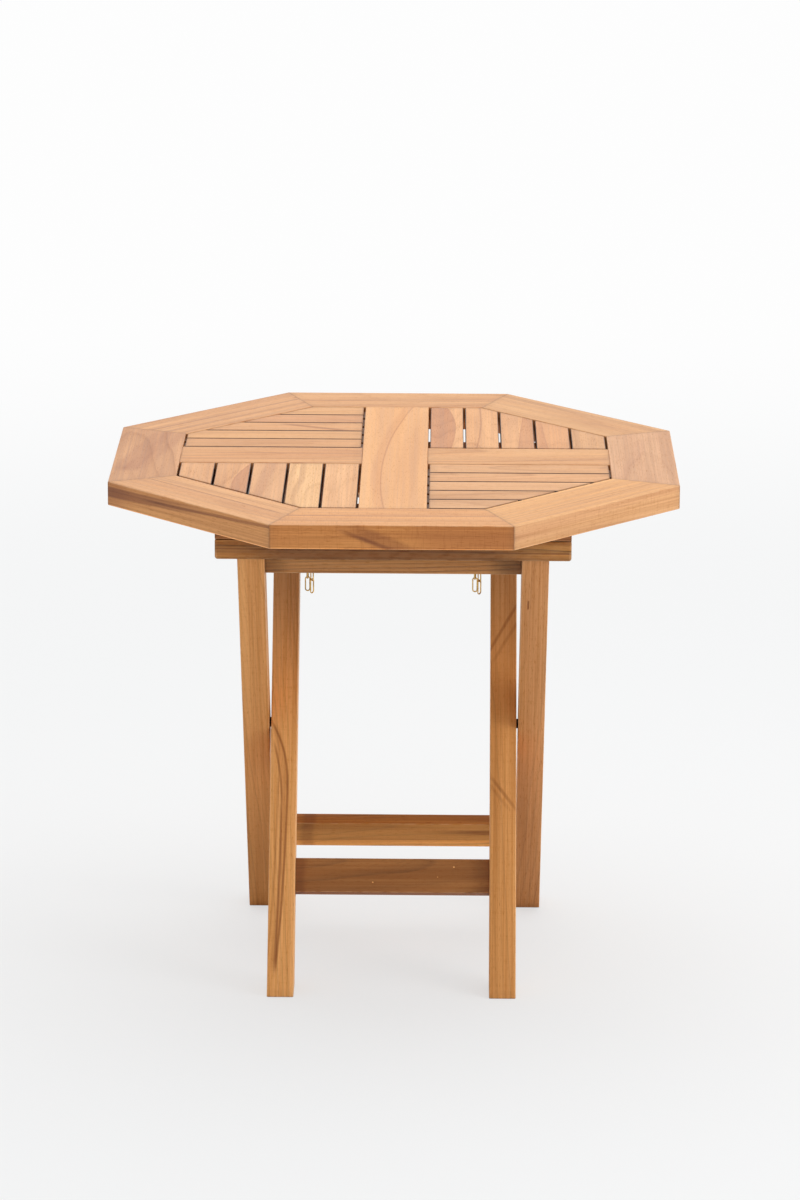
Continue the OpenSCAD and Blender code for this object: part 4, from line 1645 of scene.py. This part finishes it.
def under_cuts() -> dict[str, dict[str, object]]:
    """What the legs, rails and bearers show, by node name."""
    # painted shade: the upper ends of the inner legs, under the top
    shaded_end = Streak(ALONG, 0.36, 0.09, 0.26, 0.03, depth=0.7, stain=(0.46, 0.56, 0.90))
    leg_line = Streak(
        THROUGH, 0.0058, 0.0005, 0.0022, 0.003, -0.380, -0.080, bow=0.17, bend=-0.095,
        depth=0.8, stain=DARK,
    )
    leg_bend = replace(leg_line, start=-0.110, stop=0.010, bow=2.9)
    beside = {
        "offset": 0.0018, "reach": 0.0028, "softness": 0.004, "depth": 0.50, "stain": BROWN
    }
    knee = Streak(
        (-0.495, 0.0, 0.869), -0.0683, 0.0006, 0.0032, 0.005, 0.075, 0.200, depth=0.6,
        stain=DARK,
    )
    arch = Streak(
        (0.60, 0.0, 0.80), -0.0660, 0.0006, 0.0032, 0.006, -0.150, -0.075, depth=0.6, stain=DARK
    )
    knot = Streak(
        THROUGH, -0.0088, 0.0007, 0.0012, 0.004, 0.262, 0.283, 0.004, depth=1.0, stain=DARK
    )
    speck = Streak(
        ACROSS, -0.0102, 0.0005, 0.0006, 0.0, -0.0295, -0.0270, 0.0005, depth=1.0,
        stain=(3.2, 4.2, 5.6),
    )
    # painted shade on the right ends of the cap rail and the front batten
    shaded_right = Streak(
        ALONG, 0.25, 0.10, 0.12, 0.02, depth=0.6, stain=(0.74, 0.78, 0.94)
    )
    # painted shadow of the front rim's overhang, over the middle of the cap rail's front
    shaded_middle = Streak(
        ALONG, -0.008, 0.130, 0.110, 0.01, depth=1.0, stain=(0.52, 0.46, 0.42)
    )
    # painted shadow at the left end of a lower rail, beside the leg
    end_shadow = Streak(ALONG, -0.128, 0.004, 0.010, 0.02, depth=0.5, stain=DARK)
    return {
        "outer_leg_left": shows(
            (1.15, 1.11, 0.98),
            Streak(ALONG, -0.33, 0.06, 0.20, 0.05, depth=0.7, stain=(0.74, 0.70, 0.58)),
            contrast=0.35,
        ),
        "outer_leg_right": shows((1.02, 0.98, 0.98), knot, contrast=0.4),
        "inner_leg_left": shows(
            (1.44, 1.45, 1.32), shaded_end, leg_line, leg_bend,
            replace(leg_line, offset=-0.0023, bow=0.12, bend=-0.130, stop=-0.115),
            replace(leg_bend, offset=-0.0023, bow=1.4, bend=-0.130, start=-0.145, stop=-0.030),
            replace(leg_line, offset=-0.0080, reach=0.0003, depth=0.4),
            replace(leg_line, **beside), replace(leg_bend, **beside, bow=2.1), contrast=0.4,
        ),
        "inner_leg_right": shows(
            (1.26, 1.22, 1.05), shaded_end, knee, replace(knee, offset=-0.0550, depth=0.35),
            arch, replace(arch, offset=-0.0740, depth=0.3), contrast=0.4,
        ),
        "outer_lower_rail": shows(
            (2.2, 2.4, 2.0),
            Streak((-0.012, 1.0, 0.0), 0.0100, 0.0200, 0.0025, 0.004, depth=1.0, edge=0.4,
                   stain=(0.61, 0.60, 0.59)),
            Streak(ACROSS, 0.0060, 0.0030, 0.004, 0.005, 0.04, 0.5, 0.09, depth=0.8, stain=DARK),
            end_shadow, contrast=0.7,
        ),
        "inner_lower_rail": shows(
            (0.92, 0.88, 0.80), replace(end_shadow, offset=-0.135), speck,
            replace(speck, offset=0.0128, start=0.0870, stop=0.0895),
            replace(speck, offset=-0.0020, start=0.0640, stop=0.0660, depth=0.6), contrast=0.7,
        ),
        "cap_rail": shows(
            (1.16, 1.22, 0.94),
            # painted shadow along the upper part of the cap rail's front, under the rim
            Streak((-0.01, 0.0, 1.0), 0.0100, 0.0022, 0.003, 0.004, depth=0.75, stain=BROWN),
            Streak((0.01, 0.0, 1.0), -0.0010, 0.0006, 0.001, 0.003, depth=0.8, stain=DARK),
            Streak(THROUGH, -0.0070, 0.0016, 0.002, 0.003, depth=0.7, stain=(1.4, 1.4, 1.4)),
            shaded_right, shaded_middle, contrast=0.95, flank=(1.0, 0.98, 0.92),
        ),
        "front_batten": shows((1.01, 1.02, 1.04), shaded_right),
        "outer_top_rail": shows(
            (1.42, 1.62, 1.88),
            # painted shadow at both ends of the top rail, beside the legs
            Streak(ALONG, -0.178, 0.010, 0.030, 0.01, depth=1.0, stain=(0.66, 0.66, 0.62)),
            Streak(ALONG, 0.172, 0.008, 0.040, 0.01, depth=1.0, stain=(0.55, 0.55, 0.55)),
            contrast=0.95, flank=(1.0, 0.97, 0.92),
        ),
    }


# ------------------------------------------------------------- studio


@dataclass(frozen=True)
class Lamp:
    """One soft square lamp that looks at a point."""

    name: str
    place: RGB
    target: RGB
    size: float
    power: float

    def build(self) -> None:
        """Adds the lamp."""
        data = bpy.data.lights.new(self.name, "AREA")
        data.shape, data.size, data.energy = "SQUARE", self.size, self.power
        lamp = bpy.data.objects.new(self.name, data)
        lamp.location = self.place
        look = Vector(self.target) - Vector(self.place)
        lamp.rotation_euler = look.to_track_quat("-Z", "Y").to_euler()
        bpy.context.scene.collection.objects.link(lamp)


@dataclass(frozen=True)
class Studio:
    """Camera, lamps, pale floor and the white surroundings; angles are in degrees."""

    focal_px: float = 4835.0
    frame_px: float = 1200.0
    film: float = 36.0
    station: RGB = (0.008, -6.723, 2.375)
    pitch: float = 15.38
    roll: float = -0.259
    yaw: float = -0.52
    lamps: tuple[Lamp, ...] = (
        Lamp("key_right", (3.6, -1.6, 1.5), (0.0, 0.0, 0.55), 2.0, 60.0),
        Lamp("overhead_soft", (0.2, 0.6, 3.4), (0.0, 0.0, 0.6), 3.0, 44.0),
    )
    dim_front: float = 0.42
    bright_back: float = 1.12
    near_floor: RGB = (0.870, 0.880, 0.885)
    lifted: float = 0.66
    backdrop: RGB = (0.985, 0.985, 0.985)
    floor_rings: tuple[float, ...] = (0.0001, 0.5, 1.0, 1.6, 2.4, 3.6, 5.5, 9.0, 16.0)

    def camera(self) -> None:
        """Places the camera.

        The fit turns the table by the yaw about the vertical, so the camera's place
        and axes are turned back by it. Right = cos r x - sin r u and up = sin r x +
        cos r u, with u = (0, sin p, cos p) and the view along (0, cos p, -sin p).
        """
        p, r, yaw = (math.radians(a) for a in (self.pitch, self.roll, self.yaw))
        back = Matrix.Rotation(-yaw, 3, "Z")
        u = Vector((0, math.sin(p), math.cos(p)))
        x = Vector((1, 0, 0))
        right = math.cos(r) * x - math.sin(r) * u
        up = math.sin(r) * x + math.cos(r) * u
        view = Vector((0, math.cos(p), -math.sin(p)))
        turn = Matrix((back @ right, back @ up, back @ -view)).transposed()
        data = bpy.data.cameras.new("camera")
        data.sensor_width = self.film
        data.lens = self.focal_px / self.frame_px * data.sensor_width
        camera = bpy.data.objects.new("camera", data)
        camera.matrix_world = Matrix.Translation(back @ Vector(self.station)) @ turn.to_4x4()
        bpy.context.scene.collection.objects.link(camera)
        bpy.context.scene.camera = camera

    def world(self) -> None:
        """Pale light, dimmer from the front, which the camera and reflections see as white."""
        world = bpy.data.worlds.new("surroundings")
        bpy.context.scene.world = world
        world.use_nodes = True
        g = Graph(world.node_tree)
        ahead = g.vector("DOT_PRODUCT", g.spot("Generated"), (0.0, -1.0, 0.0))
        span = self.dim_front - self.bright_back
        strength = g.smooth(ahead, -0.35, 0.85) * span + self.bright_back
        light = world.node_tree.nodes["Background"]
        g.feed(light, {"Color": WHITE, "Strength": strength})
        white = g.feed(g.node("ShaderNodeBackground"), {"Color": self.backdrop})
        path = g.node("ShaderNodeLightPath").outputs
        rays = [Wire(g, path[f"Is {kind} Ray"]) for kind in ("Camera", "Glossy", "Transmission")]
        seen = g.math("ADD", rays[0], rays[1], clamp=True)
        g.surface(g.math("ADD", seen, rays[2], clamp=True), light, white, "World Output")

    def floor(self) -> None:
        """A disc of matte pale floor that melts into the surroundings further out.

        Its points are (r cos a, r sin a, 0) on rings of growing radius.
        """
        rings = np.array(self.floor_rings)
        a = np.linspace(0, 2 * np.pi, 96, endpoint=False)
        circle = np.stack([np.cos(a), np.sin(a), np.zeros(a.size)], axis=-1)
        points = (rings[:, None, None] * circle).reshape(-1, 3)
        disc = Shape(points, list(grid_faces(rings.size, a.size)) + [np.arange(a.size)])
        floor = to_object("floor", disc)
        material, g, shader = Graph.material("pale_floor")
        spot = g.spot()
        mottle = g.noise(spot, (1.3, 1.3, 1.3), 3.0)
        g.feed(shader, {
            "Base Color": g.mix(mottle, (0.80, 0.80, 0.80), (0.83, 0.83, 0.83)),
            "Roughness": 0.8, "Specular IOR Level": 0.1,
        })
        reach = g.vector("LENGTH", spot)
        pale = g.mix(g.smooth(reach, 0.6, 4.5), self.near_floor, self.backdrop)
        glow = g.feed(g.node("ShaderNodeEmission"), {"Color": pale})
        far = g.smooth(reach, 1.0, 3.6) * (1 - self.lifted) + self.lifted
        seen = far * Wire(g, g.node("ShaderNodeLightPath").outputs["Is Camera Ray"])
        g.surface(seen, shader, glow, "Material Output")
        floor.data.materials.append(material)
        floor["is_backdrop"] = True

    def build(self) -> None:
        """Sets up the whole studio."""
        self.camera()
        self.world()
        self.floor()
        for lamp in self.lamps:
            lamp.build()
        bpy.context.scene.view_settings.view_transform = "Standard"


def main(cad_box: tuple[Vector, Vector]) -> None:
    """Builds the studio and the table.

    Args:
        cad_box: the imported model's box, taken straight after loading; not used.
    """
    logging.basicConfig(level=logging.INFO, format="%(name)s: %(message)s")
    shown = top_cuts() | under_cuts()
    cuts = Cuts({name: replace(plain_cut(name), **own) for name, own in shown.items()})
    Studio().build()
    TableTop(SIZES, cuts).build()
    for way in Way:
        LegFrame(SIZES, way, cuts).build()
    Hardware(SIZES).build()


if __name__ == "__main__":
    main(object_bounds())
